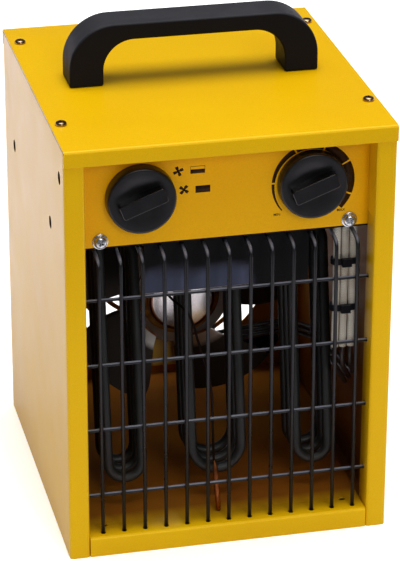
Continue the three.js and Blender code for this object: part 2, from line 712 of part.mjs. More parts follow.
// One arc-shaped slot of the air inlet, between two spokes.
function inletSlot(inner, outer, spoke) {
  const sector = (2 * Math.PI) / INLET_SPOKES;
  const start = spoke * sector;
  const trim = (radius) => Math.asin(INLET_SPOKE_WIDTH / 2 / radius);
  const shape = new THREE.Shape();
  shape.absarc(0, FAN_HEIGHT, outer, start + trim(outer), start + sector - trim(outer));
  shape.absarc(0, FAN_HEIGHT, inner, start + sector - trim(inner), start + trim(inner), true);
  shape.closePath();
  return solid(alongY(shape, REAR_INSIDE - SHEET, REAR, inner < 2.5 * INLET_FIRST ? 2 : 3));
}

function inletSlots() {
  const slots = [];
  for (let ringIndex = 0; ringIndex < INLET_RINGS; ringIndex += 1) {
    const inner = INLET_FIRST + ringIndex * (INLET_SLOT + INLET_RIB);
    for (let spoke = 0; spoke < INLET_SPOKES; spoke += 1) {
      slots.push(inletSlot(inner, inner + INLET_SLOT, spoke));
    }
  }
  return slots;
}

function rearPanel() {
  const half = INNER_HALF - (FOLD - SHEET); // clear of the folds of the side panels
  const plate = box([-half, REAR_INSIDE, FLOOR_HEIGHT + GAP], [half, REAR_FACE, PANEL_TOP]);
  const hole = (x, z, radius, facets) => turnedAlongY(
    rod(radius, REAR_INSIDE - SHEET, REAR), facets).translate([x, 0, z]);
  const corner = HALF_WIDTH - LID_SCREW_INSET;
  const screwHoles = REAR_SCREW_HEIGHTS.flatMap((z) => [-corner, corner].map(
    (x) => hole(x, z, SCREW_HOLE, SMALL_ROUND)));
  const motorHoles = [-MOTOR_SCREW_X, MOTOR_SCREW_X].map(
    (x) => hole(x, FAN_HEIGHT + MOTOR_SCREW_LIFT, SCREW_HOLE, SMALL_ROUND));
  const glandHole = hole(GLAND_X, GLAND_HEIGHT, GLAND_RADIUS + GAP, MEDIUM_ROUND);
  return cut(plate, [...inletSlots(), ...screwHoles, ...motorHoles, glandHole]);
}

// ---- Tray and heat shield --------------------------------------------------------------------

function partitionTray() {
  const skirt = TRAY_HEIGHT - TRAY_SKIRT;
  const rear = REAR_INSIDE;
  const section = foldedSheet([
    [rear, skirt], [rear, TRAY_HEIGHT], [PANEL_BACK, TRAY_HEIGHT], [PANEL_BACK, skirt]]);
  const plate = solid(alongX(section, -INNER_HALF, INNER_HALF));
  const sides = [-1, 1].map((hand) => {
    const xs = [hand * INNER_HALF, hand * (INNER_HALF - SHEET)].sort((a, b) => a - b);
    return box([xs[0], PANEL_BACK + SHEET / 2, skirt], [xs[1], rear - SHEET / 2, TRAY_HEIGHT - SHEET / 2]);
  });
  const bore = (x, y, radius, facets = SMALL_ROUND) => turnedAlongZ(
    rod(radius, TRAY_HEIGHT - 3 * SHEET, TRAY_HEIGHT + SHEET), facets).translate([x, y, 0]);
  const legs = ELEMENTS.flatMap((element) => legPlaces(element).map(
    ([x, y]) => bore(x, y, TUBE_RADIUS + 2 * GAP)));
  const screwHoles = [-PANEL_SCREW_X, PANEL_SCREW_X].map((x) => turnedAlongY(
    rod(SCREW_HOLE, PANEL_FACE, PANEL_BACK + 3 * SHEET), SMALL_ROUND)
    .translate([x, 0, PANEL_SCREW_HEIGHT]));
  const capillaryHole = bore(CAPILLARY_X, behind(CAPILLARY_BACK), CAPILLARY_RADIUS + GAP * 1.5, 8);
  const slotWidth = (SLEEVE_NAMES.length - 1) * SLEEVE_PITCH + 2 * SLEEVE_RADIUS + 3 * GAP;
  const slot = roundedRectangle(slotWidth, 2 * SLEEVE_RADIUS + 2 * GAP, SLEEVE_RADIUS + GAP - 0.01);
  const sleeveSlot = solid(alongZ(slot, TRAY_HEIGHT - 3 * SHEET, TRAY_HEIGHT + SHEET, 2)
    .translate(SLEEVE_X, behind(SLEEVE_BACK), 0));
  return cut(join([plate, ...sides]), [...legs, ...screwHoles, capillaryHole, sleeveSlot]);
}

function heatShield() {
  const face = behind(SHIELD_BACK);
  const top = TRAY_HEIGHT - SHEET;
  // Hung from a flange under the tray, with the lower edge hemmed forward.
  const section = foldedSheet([
    [face + SHIELD_FLANGE, top], [face, top], [face, SHIELD_BOTTOM],
    [face + SHIELD_HEM, SHIELD_BOTTOM], [face + SHIELD_HEM, SHIELD_BOTTOM + 2 * SHIELD_HEM]]);
  return solid(alongX(section, SHIELD_LEFT, SHIELD_RIGHT));
}

// ---- Handle ----------------------------------------------------------------------------------

function handleFeet() {
  const x = HANDLE_SPAN / 2 - HANDLE_FOOT / 2;
  return [-x, x];
}

function handle() {
  const outer = HANDLE_SPAN / 2;
  const inner = outer - HANDLE_FOOT;
  const top = CASE_HEIGHT + HANDLE_RISE;
  const under = top - HANDLE_BAR;
  const foot = CASE_HEIGHT - 2 * HANDLE_EDGE;
  const bow = new THREE.Shape();
  bow.moveTo(-outer, foot);
  bow.lineTo(-inner, foot);
  bow.absarc(-inner + HANDLE_INNER_RADIUS, under - HANDLE_INNER_RADIUS, HANDLE_INNER_RADIUS,
    Math.PI, Math.PI / 2, true);
  bow.absarc(inner - HANDLE_INNER_RADIUS, under - HANDLE_INNER_RADIUS, HANDLE_INNER_RADIUS,
    Math.PI / 2, 0, true);
  bow.lineTo(inner, foot);
  bow.lineTo(outer, foot);
  bow.absarc(outer - HANDLE_OUTER_RADIUS, top - HANDLE_OUTER_RADIUS, HANDLE_OUTER_RADIUS,
    0, Math.PI / 2);
  bow.absarc(-outer + HANDLE_OUTER_RADIUS, top - HANDLE_OUTER_RADIUS, HANDLE_OUTER_RADIUS,
    Math.PI / 2, Math.PI);
  bow.closePath();
  const geometry = new THREE.ExtrudeGeometry(bow, {
    depth: HANDLE_DEPTH - 2 * HANDLE_EDGE,
    curveSegments: 4,
    bevelThickness: HANDLE_EDGE,
    bevelSize: HANDLE_EDGE,
    bevelOffset: -HANDLE_EDGE,
    bevelSegments: 2,
  });
  const turn = new THREE.Matrix4().makeBasis(X_AXIS, Z_AXIS, Y_AXIS.clone().negate());
  geometry.applyMatrix4(turn).translate(0, behind(HANDLE_BACK) + HANDLE_DEPTH / 2 - HANDLE_EDGE, 0);
  const far = HANDLE_SPAN;
  const aboveLid = box([-far, FRONT, CASE_HEIGHT], [far, REAR, top + HANDLE_EDGE]);
  const pilots = handleFeet().map((x) => turnedAlongZ(
    rod(SCREW_HOLE, CASE_HEIGHT - SHEET, CASE_HEIGHT + HANDLE_SCREW_DEPTH + GAP), SMALL_ROUND)
    .translate([x, behind(HANDLE_BACK), 0]));
  return cut(solid(geometry).intersect(aboveLid), pilots);
}

// ---- Knobs, switch and thermostat --------------------------------------------------------------

// Modelled with its axis along Z and its back at z = 0, then turned to face the front.
function knobBody() {
  const rim = KNOB_RIM;
  const skirt = [
    [0, 0],
    [KNOB_RADIUS, 0],
    [KNOB_RADIUS - 0.5, rim - 1.4],
    [KNOB_RADIUS - 1.9, rim - 0.1],
    [KNOB_DISH_RADIUS + 1.2, rim],
    [KNOB_DISH_RADIUS, rim - 0.7],
    [KNOB_DISH_RADIUS - 2.2, KNOB_DISH],
    [0, KNOB_DISH],
  ];
  const edge = 0.7;
  const grip = roundedRectangle(GRIP_LENGTH, GRIP_WIDTH, 2.2);
  const gripGeometry = new THREE.ExtrudeGeometry(grip, {
    depth: GRIP_RISE - KNOB_DISH - edge,
    curveSegments: 3,
    bevelThickness: edge,
    bevelSize: edge,
    bevelOffset: -edge,
    bevelSegments: 2,
  }).translate(0, 0, KNOB_DISH);
  const bore = turnedAlongZ(rod(SPINDLE_BORE, -1, spindleInsideKnob() + GAP), SMALL_ROUND);
  const body = join([turnedAlongZ(skirt, KNOB_ROUND), solid(gripGeometry)]);
  return cut(body, [bore]);
}

function spindleInsideKnob() {
  return KNOB_RIM;
}

// Turns a piece from its axis along Z to its front facing -Y, and gives it the grip's angle.
function faceFront(body, degrees) {
  return body.rotate([0, 0, degrees]).rotate([90, 0, 0]);
}

function spindle(length) {
  const tip = KNOB_BACK - spindleInsideKnob();
  return turnedAlongY(rod(SPINDLE_RADIUS, tip, PANEL_BACK + length), SMALL_ROUND);
}

// A body behind the panel, with the bush that comes through the panel and the spindle's bore.
function controlBody(block, boreDepth) {
  const bush = turnedAlongY(rod(SPINDLE_BUSH_RADIUS, PANEL_FACE, PANEL_BACK + SHEET), MEDIUM_ROUND);
  const bore = turnedAlongY(
    rod(SPINDLE_BORE, PANEL_FACE - SHEET, PANEL_BACK + boreDepth + GAP), SMALL_ROUND);
  return cut(join([block, bush]), [bore]);
}

// Flat connector tabs that stand out of a body's rear face.
function connectorTabs(xs, zs, from) {
  const half = TAB_WIDTH / 2;
  const thin = TAB_THICKNESS / 2;
  return xs.flatMap((x) => zs.map((z) => box(
    [x - half, from - SHEET, z - thin], [x + half, from + TAB_LENGTH, z + thin])));
}

function rotarySwitch() {
  const outline = roundedRectangle(SWITCH_SIZE, SWITCH_SIZE, 4);
  const rear = PANEL_BACK + SWITCH_DEPTH;
  const block = solid(alongY(outline, PANEL_BACK, rear, 1));
  const reach = 0.28 * SWITCH_SIZE;
  const tabs = connectorTabs([-reach, reach], [-reach, 0, reach], rear);
  return controlBody(join([block, ...tabs]), SWITCH_BORE);
}

function thermostatBody() {
  const outline = roundedRectangle(THERMOSTAT_WIDTH, THERMOSTAT_HEIGHT, 3);
  const rear = PANEL_BACK + THERMOSTAT_DEPTH;
  const block = solid(alongY(outline, PANEL_BACK, rear, 1));
  const dome = turnedAlongY([
    [0, rear - 1],
    [THERMOSTAT_DOME_RADIUS, rear - 1],
    [THERMOSTAT_DOME_RADIUS, rear + 0.4 * THERMOSTAT_DOME_RISE],
    [0.5 * THERMOSTAT_DOME_RADIUS, rear + THERMOSTAT_DOME_RISE],
    [0, rear + THERMOSTAT_DOME_RISE],
  ], MEDIUM_ROUND);
  const reach = THERMOSTAT_WIDTH / 2 - TAB_WIDTH / 2 - 2 * GAP;
  const tabs = connectorTabs([-reach, reach], [TAB_WIDTH / 2 - THERMOSTAT_HEIGHT / 2 + SHEET], rear);
  return controlBody(join([block, dome, ...tabs]), THERMOSTAT_BORE);
}

// ---- Front grille ----------------------------------------------------------------------------

function frontGrille() {
  const bottom = FLOOR_HEIGHT - WIRE_BELOW_FLOOR;
  const tailBack = behind(WIRE_TOP_BACK + WIRE_TAIL);
  const uprights = wireXs().map((x) => bar(roundedPath([
    [x, wireHeightToBack(bottom), bottom],
    [x, wireHeightToBack(WIRE_TOP), WIRE_TOP],
    [x, tailBack, WIRE_TOP + WIRE_TAIL_RISE],
  ], WIRE_BEND, 3), WIRE_RADIUS, WIRE_SIDES));
  const reach = POST_INSIDE + SHEET + CROSS_WIRE_REACH;
  const crossWires = crossWireHeights().map((height) => bar([
    new THREE.Vector3(-reach, crossWireBack(height), height),
    new THREE.Vector3(reach, crossWireBack(height), height),
  ], CROSS_WIRE_RADIUS, WIRE_SIDES));
  return join([...uprights, ...crossWires]);
}

// ---- Heating elements ------------------------------------------------------------------------

// Depth behind the front of a strand, at a height, with the coil's lean.
function coilBack(height, turn) {
  const rise = (height - COIL_BOTTOM) / (COIL_TOP - COIL_BOTTOM);
  return behind(COIL_FRONT + COIL_LEAN * rise + turn * COIL_PITCH);
}

function coilReach({ width }) {
  return width / 2 - TUBE_RADIUS;
}

// Where the two straight legs of an element come through the tray.
function legPlaces(element) {
  const reach = coilReach(element);
  return [
    [element.centre - reach, coilBack(COIL_TOP, 0)],
    [element.centre + reach, coilBack(COIL_TOP, COIL_TURNS - 1)],
  ];
}

// One coiled element: down the left, round the bottom, up the right and over to the next turn.
function element(details) {
  const reach = coilReach(details);
  const low = COIL_BOTTOM + TUBE_RADIUS + reach;
  const high = COIL_TOP - TUBE_RADIUS - reach;
  const steps = 5;
  const [first, last] = legPlaces(details);
  const shoulder = TRAY_HEIGHT + TERMINAL_HEIGHT;
  const points = [];
  const radii = [];
  const add = (x, y, z, radius = TUBE_RADIUS) => {
    points.push(new THREE.Vector3(x, y, z));
    radii.push(radius);
  };
  const leg = ([x, y]) => [
    [x, y, shoulder + TERMINAL_PIN, TERMINAL_PIN_RADIUS],
    [x, y, shoulder + 0.2, TERMINAL_PIN_RADIUS],
    [x, y, shoulder, TUBE_RADIUS],
    [x, y, COIL_TOP + 4, TUBE_RADIUS],
  ];
  leg(first).forEach((row) => add(...row));
  for (let turn = 0; turn < COIL_TURNS; turn += 1) {
    for (let step = 0; step <= steps; step += 1) {
      const angle = Math.PI + (Math.PI * step) / steps;
      const z = low + reach * Math.sin(angle);
      add(details.centre + reach * Math.cos(angle), coilBack(z, turn), z);
    }
    if (turn < COIL_TURNS - 1) {
      for (let step = 0; step <= steps; step += 1) {
        const angle = (Math.PI * step) / steps;
        const z = high + reach * Math.sin(angle);
        add(details.centre + reach * Math.cos(angle), coilBack(z, turn + step / steps), z);
      }
    }
  }
  leg(last).reverse().forEach((row) => add(...row));
  return bar(points, radii, TUBE_SIDES);
}

function elementNut() {
  const shape = hexagon(NUT_ACROSS_FLATS, TUBE_RADIUS + GAP);
  return solid(alongZ(shape, TRAY_HEIGHT, TRAY_HEIGHT + NUT_HEIGHT, 4));
}

// ---- Sensor and leads ------------------------------------------------------------------------

// The bulb stands on the floor behind the grille. Its thin tube climbs between the left and the
// centre element, goes through the tray and on to the thermostat.
function sensorCapillary() {
  const y = behind(BULB_BACK);
  const bottom = FLOOR_HEIGHT + GAP;
  const neck = bottom + BULB_HEIGHT;
  const neckX = BULB_X - BULB_LEAN;
  const shieldEdge = SHIELD_BOTTOM - CAPILLARY_BEND;
  const above = (TRAY_HEIGHT + KNOB_HEIGHT) / 2;
  const domeRear = PANEL_BACK + THERMOSTAT_DEPTH + THERMOSTAT_DOME_RISE + GAP + CAPILLARY_RADIUS;
  const thin = roundedPath([
    [neckX - CAPILLARY_RADIUS, y, neck + BULB_RADIUS],
    [neckX - BULB_LEAN, y, (neck + shieldEdge) / 2],
    [(neckX + CAPILLARY_X) / 2, (y + behind(CAPILLARY_BACK)) / 2, shieldEdge - CAPILLARY_BEND],
    [CAPILLARY_X, behind(CAPILLARY_BACK), shieldEdge],
    [CAPILLARY_X, behind(CAPILLARY_BACK), above],
    [(CAPILLARY_X + 2 * KNOB_X) / 3, domeRear + CAPILLARY_BEND, above],
    [KNOB_X, domeRear, KNOB_HEIGHT],
  ], CAPILLARY_BEND, 2);
  const thick = [
    new THREE.Vector3(BULB_X, y, bottom),
    new THREE.Vector3(neckX, y, neck - BULB_RADIUS),
  ];
  const radii = [BULB_RADIUS, BULB_RADIUS, ...thin.map(() => CAPILLARY_RADIUS)];
  const around = 4 * BULB_RADIUS;
  const floorCut = box([BULB_X - around, y - around, bottom - around],
    [BULB_X + around, y + around, bottom]);
  return cut(bar([...thick, ...thin], radii, WIRE_SIDES), [floorCut]);
}

function sleeveX(index) {
  return SLEEVE_X + (index - 2) * SLEEVE_PITCH;
}

// A lead in its white sleeve, from the terminal block down through the tray. Below the sleeve the
// bare lead goes along the right wall, past the fan, to the motor's coil.
function motorLead(index) {
  const x = sleeveX(index);
  const y = behind(SLEEVE_BACK);
  const above = TRAY_HEIGHT + SLEEVE_RISE;
  const blockFace = behind(BLOCK_BACK) - GAP;
  const sleeve = roundedPath([[x, blockFace, above], [x, y, above], [x, y, SLEEVE_BOTTOM]],
    SLEEVE_BEND, 3);
  const shift = (index - 2) * 2 * (LEAD_RADIUS + GAP);
  const wallX = HALF_WIDTH - LEAD_FROM_WALL;
  const coilSide = COIL_WIDTH / 2 + 2 * GAP;
  const coilZ = FAN_HEIGHT - STATOR_BELOW + YOKE_HEIGHT / 2;
  const lead = roundedPath([
    [x, y, SLEEVE_BOTTOM - GAP],
    [x, y, SLEEVE_BOTTOM - LEAD_BEND],
    [wallX + (x - SLEEVE_X) * 0.4, y + 2 * LEAD_BEND, SLEEVE_BOTTOM - 3 * LEAD_BEND + shift],
    [wallX, behind(FAN_BACK), coilZ + LEAD_BEND + shift],
    [wallX - LEAD_BEND, behind(STATOR_FRONT), coilZ + 3 * LEAD_RADIUS + shift],
    [coilSide, behind(STATOR_FRONT - COIL_OVERHANG / 2), coilZ + shift],
  ], LEAD_BEND, 2);
  const radii = [...sleeve.map(() => SLEEVE_RADIUS), ...lead.map(() => LEAD_RADIUS)];
  return bar([...sleeve, ...lead], radii, WIRE_SIDES);
}

function cableTie(height) {
  const slack = GAP;
  const width = 2 * SLEEVE_PITCH + 2 * SLEEVE_RADIUS + 2 * slack;
  const depth = 2 * SLEEVE_RADIUS + 2 * slack;
  const band = roundedRectangle(width + 2 * TIE_THICKNESS, depth + 2 * TIE_THICKNESS,
    depth / 2 + TIE_THICKNESS - 0.01);
  band.holes.push(roundedRectangle(width, depth, depth / 2 - 0.01));
  const hoop = solid(alongZ(band, height - TIE_WIDTH / 2, height + TIE_WIDTH / 2, 2)
    .translate(SLEEVE_X, behind(SLEEVE_BACK), 0));
  const face = behind(SLEEVE_BACK) - depth / 2 - TIE_THICKNESS;
  const half = 0.43 * TIE_LOCK;
  const lock = box([SLEEVE_X - TIE_LOCK / 2, face - half, height - half],
    [SLEEVE_X + TIE_LOCK / 2, face + GAP, height + half]);
  return join([hoop, lock]);
}

function terminalBlock() {
  const half = BLOCK_DEPTH / 2;
  const centre = behind(BLOCK_BACK) + half;
  const foot = TRAY_HEIGHT;
  const height = BLOCK_HEIGHT;
  const section = new THREE.Shape();
  section.moveTo(centre - half, foot);
  section.lineTo(centre + half, foot);
  section.lineTo(centre + half, foot + 0.65 * height);
  section.lineTo(centre + 0.45 * half, foot + height);
  section.lineTo(centre - 0.45 * half, foot + height);
  section.lineTo(centre - half, foot + 0.65 * height);
  section.closePath();
  const block = solid(alongX(section, SLEEVE_X - BLOCK_WIDTH / 2, SLEEVE_X + BLOCK_WIDTH / 2));
  const screws = SLEEVE_NAMES.map((index) => turnedAlongZ(
    rod(BLOCK_SCREW_RADIUS, foot + 0.76 * height, foot + height + SHEET), SMALL_ROUND).translate([
      SLEEVE_X + (index - 2) * BLOCK_PITCH, centre, 0]));
  return cut(block, screws);
}

function thermalCutout() {
  const base = TRAY_HEIGHT + LIMITER_BASE;
  const top = TRAY_HEIGHT + LIMITER_HEIGHT;
  const body = turnedAlongZ([
    [0, TRAY_HEIGHT], [LIMITER_RADIUS, TRAY_HEIGHT], [LIMITER_RADIUS, base],
    [LIMITER_CAP_RADIUS, base], [LIMITER_CAP_RADIUS, top], [0, top]], MEDIUM_ROUND);
  const halfEar = LIMITER_EAR_WIDTH / 2;
  const ear = box([-LIMITER_EAR, -halfEar, TRAY_HEIGHT], [LIMITER_EAR, halfEar, TRAY_HEIGHT + SHEET]);
  const reach = 0.6 * LIMITER_CAP_RADIUS;
  const thin = TAB_THICKNESS / 2;
  const half = TAB_WIDTH / 2;
  const tabs = [-reach, reach].map((x) => box(
    [x - thin, -half, top - SHEET], [x + thin, half, top + TAB_LENGTH]));
  return join([body, ear, ...tabs]);
}

// ---- Fan and motor -----------------------------------------------------------------------------

// One pressed blade: a curved, twisted sheet from the hub to the tip.
function fanBlade() {
  const radialSteps = 4;
  const chordSteps = 4;
  const positions = [];
  const triangles = [];
  const columns = chordSteps + 1;
  const layer = (radialSteps + 1) * columns;
  const span = THREE.MathUtils.degToRad(BLADE_SPAN);
  for (const side of [-1, 1]) {
    for (let i = 0; i <= radialSteps; i += 1) {
      const t = i / radialSteps;
      const radius = THREE.MathUtils.lerp(BLADE_ROOT, FAN_RADIUS, t);
      // The blade is widest past its middle and its corners are rounded off.
      const width = span * (0.86 + 0.3 * t - 0.34 * t ** 4);
      const pitch = THREE.MathUtils.degToRad(BLADE_PITCH * (1.25 - 0.5 * t));
      for (let j = 0; j <= chordSteps; j += 1) {
        const u = j / chordSteps - 0.5;
        const angle = u * width + 0.22 * t;
        const chord = radius * u * width;
        const camber = 0.05 * radius * (1 - 4 * u * u);
        const depth = -chord * Math.tan(pitch) * 0.72 - camber + (side * BLADE_THICKNESS) / 2;
        positions.push(radius * Math.cos(angle), depth, radius * Math.sin(angle));
      }
    }
  }
  const quad = (a, b, c, d) => triangles.push(a, b, c, a, c, d);
  const at = (side, i, j) => side * layer + i * columns + j;
  for (let i = 0; i < radialSteps; i += 1) {
    for (let j = 0; j < chordSteps; j += 1) {
      quad(at(0, i, j), at(0, i, j + 1), at(0, i + 1, j + 1), at(0, i + 1, j));
      quad(at(1, i, j), at(1, i + 1, j), at(1, i + 1, j + 1), at(1, i, j + 1));
    }
  }
  for (let i = 0; i < radialSteps; i += 1) {
    quad(at(0, i, 0), at(0, i + 1, 0), at(1, i + 1, 0), at(1, i, 0));
    quad(at(0, i, chordSteps), at(1, i, chordSteps), at(1, i + 1, chordSteps),
      at(0, i + 1, chordSteps));
  }
  for (let j = 0; j < chordSteps; j += 1) {
    quad(at(0, 0, j), at(1, 0, j), at(1, 0, j + 1), at(0, 0, j + 1));
    quad(at(0, radialSteps, j), at(0, radialSteps, j + 1), at(1, radialSteps, j + 1),
      at(1, radialSteps, j));
  }
  const geometry = new THREE.BufferGeometry();
  geometry.setAttribute("position", new THREE.Float32BufferAttribute(positions, 3));
  geometry.setIndex(triangles);
  return geometry;
}

// The stepped hub is one pressed shell, closed at the front but for the shaft's hole, with the
// blades standing out of its rim. The axis is along Y and the front face at y = 0.
function fanImpeller() {
  const small = HUB_FRONT_RADIUS;
  const middle = HUB_MIDDLE_RADIUS;
  const large = HUB_RADIUS;
  const bore = SHAFT_RADIUS + GAP;
  const shell = turnedAlongY([
    [bore, 0],
    [small - HUB_FRONT_ROUND, 0],
    [small, 0.75 * HUB_FRONT_ROUND],
    [small, HUB_STEP],
    [middle - HUB_ROUND, HUB_STEP + 0.6 * HUB_ROUND],
    [middle, 2 * HUB_STEP],
    [large - HUB_ROUND, 2 * HUB_STEP + 0.6 * HUB_ROUND],
    [large, 3 * HUB_STEP],
    [large, 3 * HUB_STEP + HUB_WALL],
    [middle, 2 * HUB_STEP + HUB_WALL + HUB_ROUND],
    [middle - HUB_WALL, HUB_STEP + HUB_WALL + HUB_ROUND],
    [small - HUB_WALL, HUB_STEP + HUB_ROUND],
    [small - HUB_WALL - HUB_ROUND, HUB_WALL],
    [bore, HUB_WALL],
  ], ROUND);
  const boss = turnedAlongY(ring(bore, HUB_BOSS_RADIUS, HUB_WALL / 2, 3 * HUB_STEP), ROUND);
  const blade = fanBlade();
  const bladeMiddle = 2.4 * HUB_STEP;
  const around = Array.from({ length: FAN_BLADES }, (_, i) => {
    const angle = (2 * Math.PI * i) / FAN_BLADES;
    return solid(blade.clone().rotateY(angle).translate(0, bladeMiddle, 0));
  });
  return join([shell, boss, ...around]);
}

function fanNut() {
  const nut = alongY(hexagon(FAN_NUT_ACROSS_FLATS, SHAFT_RADIUS + GAP), -FAN_NUT_HEIGHT, 0, 4);
  return solid(nut);
}

// The shaft with the rotor core on it. The rotor lines up with the stator's laminations.
function motorRotor() {
  const front = behind(FAN_BACK - SHAFT_PROUD);
  const rear = behind(STATOR_REAR + BRACKET_RISE + BEARING_LENGTH / 2 + 2);
  const coreFront = behind(STATOR_FRONT) + GAP;
  const coreRear = behind(STATOR_REAR) - GAP;
  return turnedAlongY([
    [0, front],
    [SHAFT_RADIUS - 0.5, front],
    [SHAFT_RADIUS, front + 0.5],
    [SHAFT_RADIUS, coreFront],
    [ROTOR_RADIUS, coreFront],
    [ROTOR_RADIUS, coreRear],
    [SHAFT_RADIUS, coreRear],
    [SHAFT_RADIUS, rear],
    [0, rear],
  ], MEDIUM_ROUND);
}

// Laminations: a block round the rotor, two legs and the yoke that carries the coil.
function motorStator() {
  const half = STATOR_WIDTH / 2;
  const shape = roundedRectangle(STATOR_WIDTH, STATOR_ABOVE + STATOR_BELOW, 4);
  const lift = (STATOR_ABOVE - STATOR_BELOW) / 2;
  const window = rectangle(-half + LEG_WIDTH, -STATOR_BELOW + YOKE_HEIGHT - lift,
    half - LEG_WIDTH, -POLE_BELOW - lift);
  shape.holes.push(window, circle(0, -lift, ROTOR_RADIUS + ROTOR_GAP));
  [-MOTOR_SCREW_X, MOTOR_SCREW_X].forEach((x) => {
    shape.holes.push(circle(x, MOTOR_SCREW_LIFT - lift, SCREW_HOLE));
  });
  return solid(alongY(shape, behind(STATOR_FRONT), behind(STATOR_REAR), 8)
    .translate(0, 0, FAN_HEIGHT + lift));
}

// Winding round the yoke, filling the window and standing out in front, behind and below.
function motorCoil() {
  const yokeMiddle = -STATOR_BELOW + YOKE_HEIGHT / 2;
  const height = 2 * (YOKE_HEIGHT / 2 + GAP + COIL_OVERHANG);
  const depth = STATOR_STACK + 2 * (GAP + COIL_OVERHANG);
  const section = roundedRectangle(depth, height, 4);
  section.holes.push(roundedRectangle(STATOR_STACK + 2 * GAP, YOKE_HEIGHT + 2 * GAP, 0.4));
  return solid(alongX(section, -COIL_WIDTH / 2, COIL_WIDTH / 2, 2)
    .translate(0, behind(STATOR_FRONT + STATOR_STACK / 2), FAN_HEIGHT + yokeMiddle));
}

// A bridge over the rotor with the bearing in its middle. It stands in front of a stator face at
// y = 0 and bulges towards -Y.
function motorBracket() {
  const half = STATOR_WIDTH / 2 - BRACKET_INSET;
  const foot = MOTOR_SCREW_X - BRACKET_CREASE;
  const crown = foot - BRACKET_SLOPE;
  const section = foldedSheet([
    [half, -BRACKET_SHEET], [foot, -BRACKET_SHEET], [crown, -BRACKET_SHEET - BRACKET_RISE],
    [-crown, -BRACKET_SHEET - BRACKET_RISE], [-foot, -BRACKET_SHEET], [-half, -BRACKET_SHEET],
  ].reverse(), BRACKET_FOLD);
  const low = -BRACKET_WIDTH / 2;
  const high = MOTOR_SCREW_LIFT + BRACKET_EDGE;
  const bridge = solid(alongZ(section, low, high));
  const bossFront = -BRACKET_SHEET - BRACKET_RISE - BEARING_LENGTH / 2;
  const boss = turnedAlongY(rod(BEARING_RADIUS, bossFront, bossFront + BEARING_LENGTH), MEDIUM_ROUND);
  const bore = turnedAlongY(rod(SHAFT_RADIUS + GAP, bossFront - 1, 1), SMALL_ROUND);
  const screwHoles = [-MOTOR_SCREW_X, MOTOR_SCREW_X].map((x) => turnedAlongY(
    rod(SCREW_HOLE, -BRACKET_RISE, 1), SMALL_ROUND).translate([x, 0, MOTOR_SCREW_LIFT]));
  return cut(join([bridge, boss]), [bore, ...screwHoles]);
}

function motorSpacer() {
  const from = behind(STATOR_REAR) + BRACKET_SHEET;
  return turnedAlongY(ring(SCREW_HOLE, SPACER_RADIUS, from, REAR_INSIDE), SMALL_ROUND);
}

// ---- Cord gland --------------------------------------------------------------------------------

function glandBody() {
  const inside = REAR_INSIDE - GLAND_INSIDE;
  const flangeEnd = REAR_FACE + GLAND_FLANGE;
  const neckEnd = flangeEnd + GLAND_DOME - 2.5;
  const tube = turnedAlongY(ring(GLAND_BORE, GLAND_RADIUS, inside, flangeEnd), MEDIUM_ROUND);
  const neck = turnedAlongY(ring(GLAND_BORE, GLAND_RADIUS - 1, flangeEnd - 1, neckEnd), MEDIUM_ROUND);
  const flange = solid(alongY(hexagon(GLAND_ACROSS_FLATS, GLAND_BORE + 1), REAR_FACE, flangeEnd, 4));
  return join([tube, neck, flange]);
}

function glandDomeNut() {
  const start = REAR_FACE + GLAND_FLANGE + GAP;
  const outer = GLAND_ACROSS_FLATS / 2 - 0.6;
  return turnedAlongY([
    [GLAND_RADIUS - 1 + GAP, start],
    [outer, start],
    [outer, start + 0.45 * GLAND_DOME],
    [outer - 1, start + 0.72 * GLAND_DOME],
    [outer - 3.5, start + 0.95 * GLAND_DOME],
    [GLAND_BORE + 1, GLAND_END],
    [GLAND_BORE, GLAND_END],
    [GLAND_BORE, GLAND_END - 1.4],
    [GLAND_RADIUS - 1 + GAP, GLAND_END - 2],
  ], MEDIUM_ROUND);
}

function glandLockNut() {
  const shape = hexagon(GLAND_ACROSS_FLATS, GLAND_RADIUS + GAP);
  return solid(alongY(shape, REAR_INSIDE - GLAND_LOCK_NUT, REAR_INSIDE, 8));
}

// ---- Assembly --------------------------------------------------------------------------------

const rightPanel = sidePanel();
addPiece("right_panel", rightPanel, YELLOW_PAINT);
addPiece("left_panel", mirrored(rightPanel), YELLOW_PAINT);
addPiece("base_plate", basePlate(), YELLOW_PAINT);
addPiece("top_cover", topCover(), YELLOW_PAINT);
addPiece("control_panel", controlPanel(), PANEL_PAINT);
addPiece("rear_panel", rearPanel(), YELLOW_PAINT);
addPiece("partition_tray", partitionTray(), GALVANISED);
addPiece("heat_shield", heatShield(), DARK_SHEET);
addPiece("handle", handle(), BLACK_PLASTIC);
addPiece("front_grille", frontGrille(), BLACK_WIRE);

const lidScrew = turnedAlongZ(
  screwProfile(LID_SCREW_HEAD, SCREW_RADIUS, SHORT_SCREW), HEAD_ROUND);
const handleScrew = turnedAlongZ(
  screwProfile(HANDLE_SCREW_HEAD, SCREW_RADIUS, HANDLE_SCREW_DEPTH + SHEET), SMALL_ROUND);
const sideNames = [["left", -1], ["right", 1]];
const depthNames = [["front", lidScrewBacks()[0]], ["rear", lidScrewBacks()[1]]];
for (const [side, hand] of sideNames) {
  const x = hand * (HALF_WIDTH - LID_SCREW_INSET);
  for (const [end, y] of depthNames) {
    addPiece(`lid_screw_${end}_${side}`, lidScrew, DARK_SCREW, [x, y, CASE_HEIGHT]);
  }
  const footX = hand * handleFeet()[1];
  addPiece(`handle_screw_${side}`, handleScrew.rotate([180, 0, 0]), DARK_SCREW,
    [footX, behind(HANDLE_BACK), SIDE_TOP]);
}

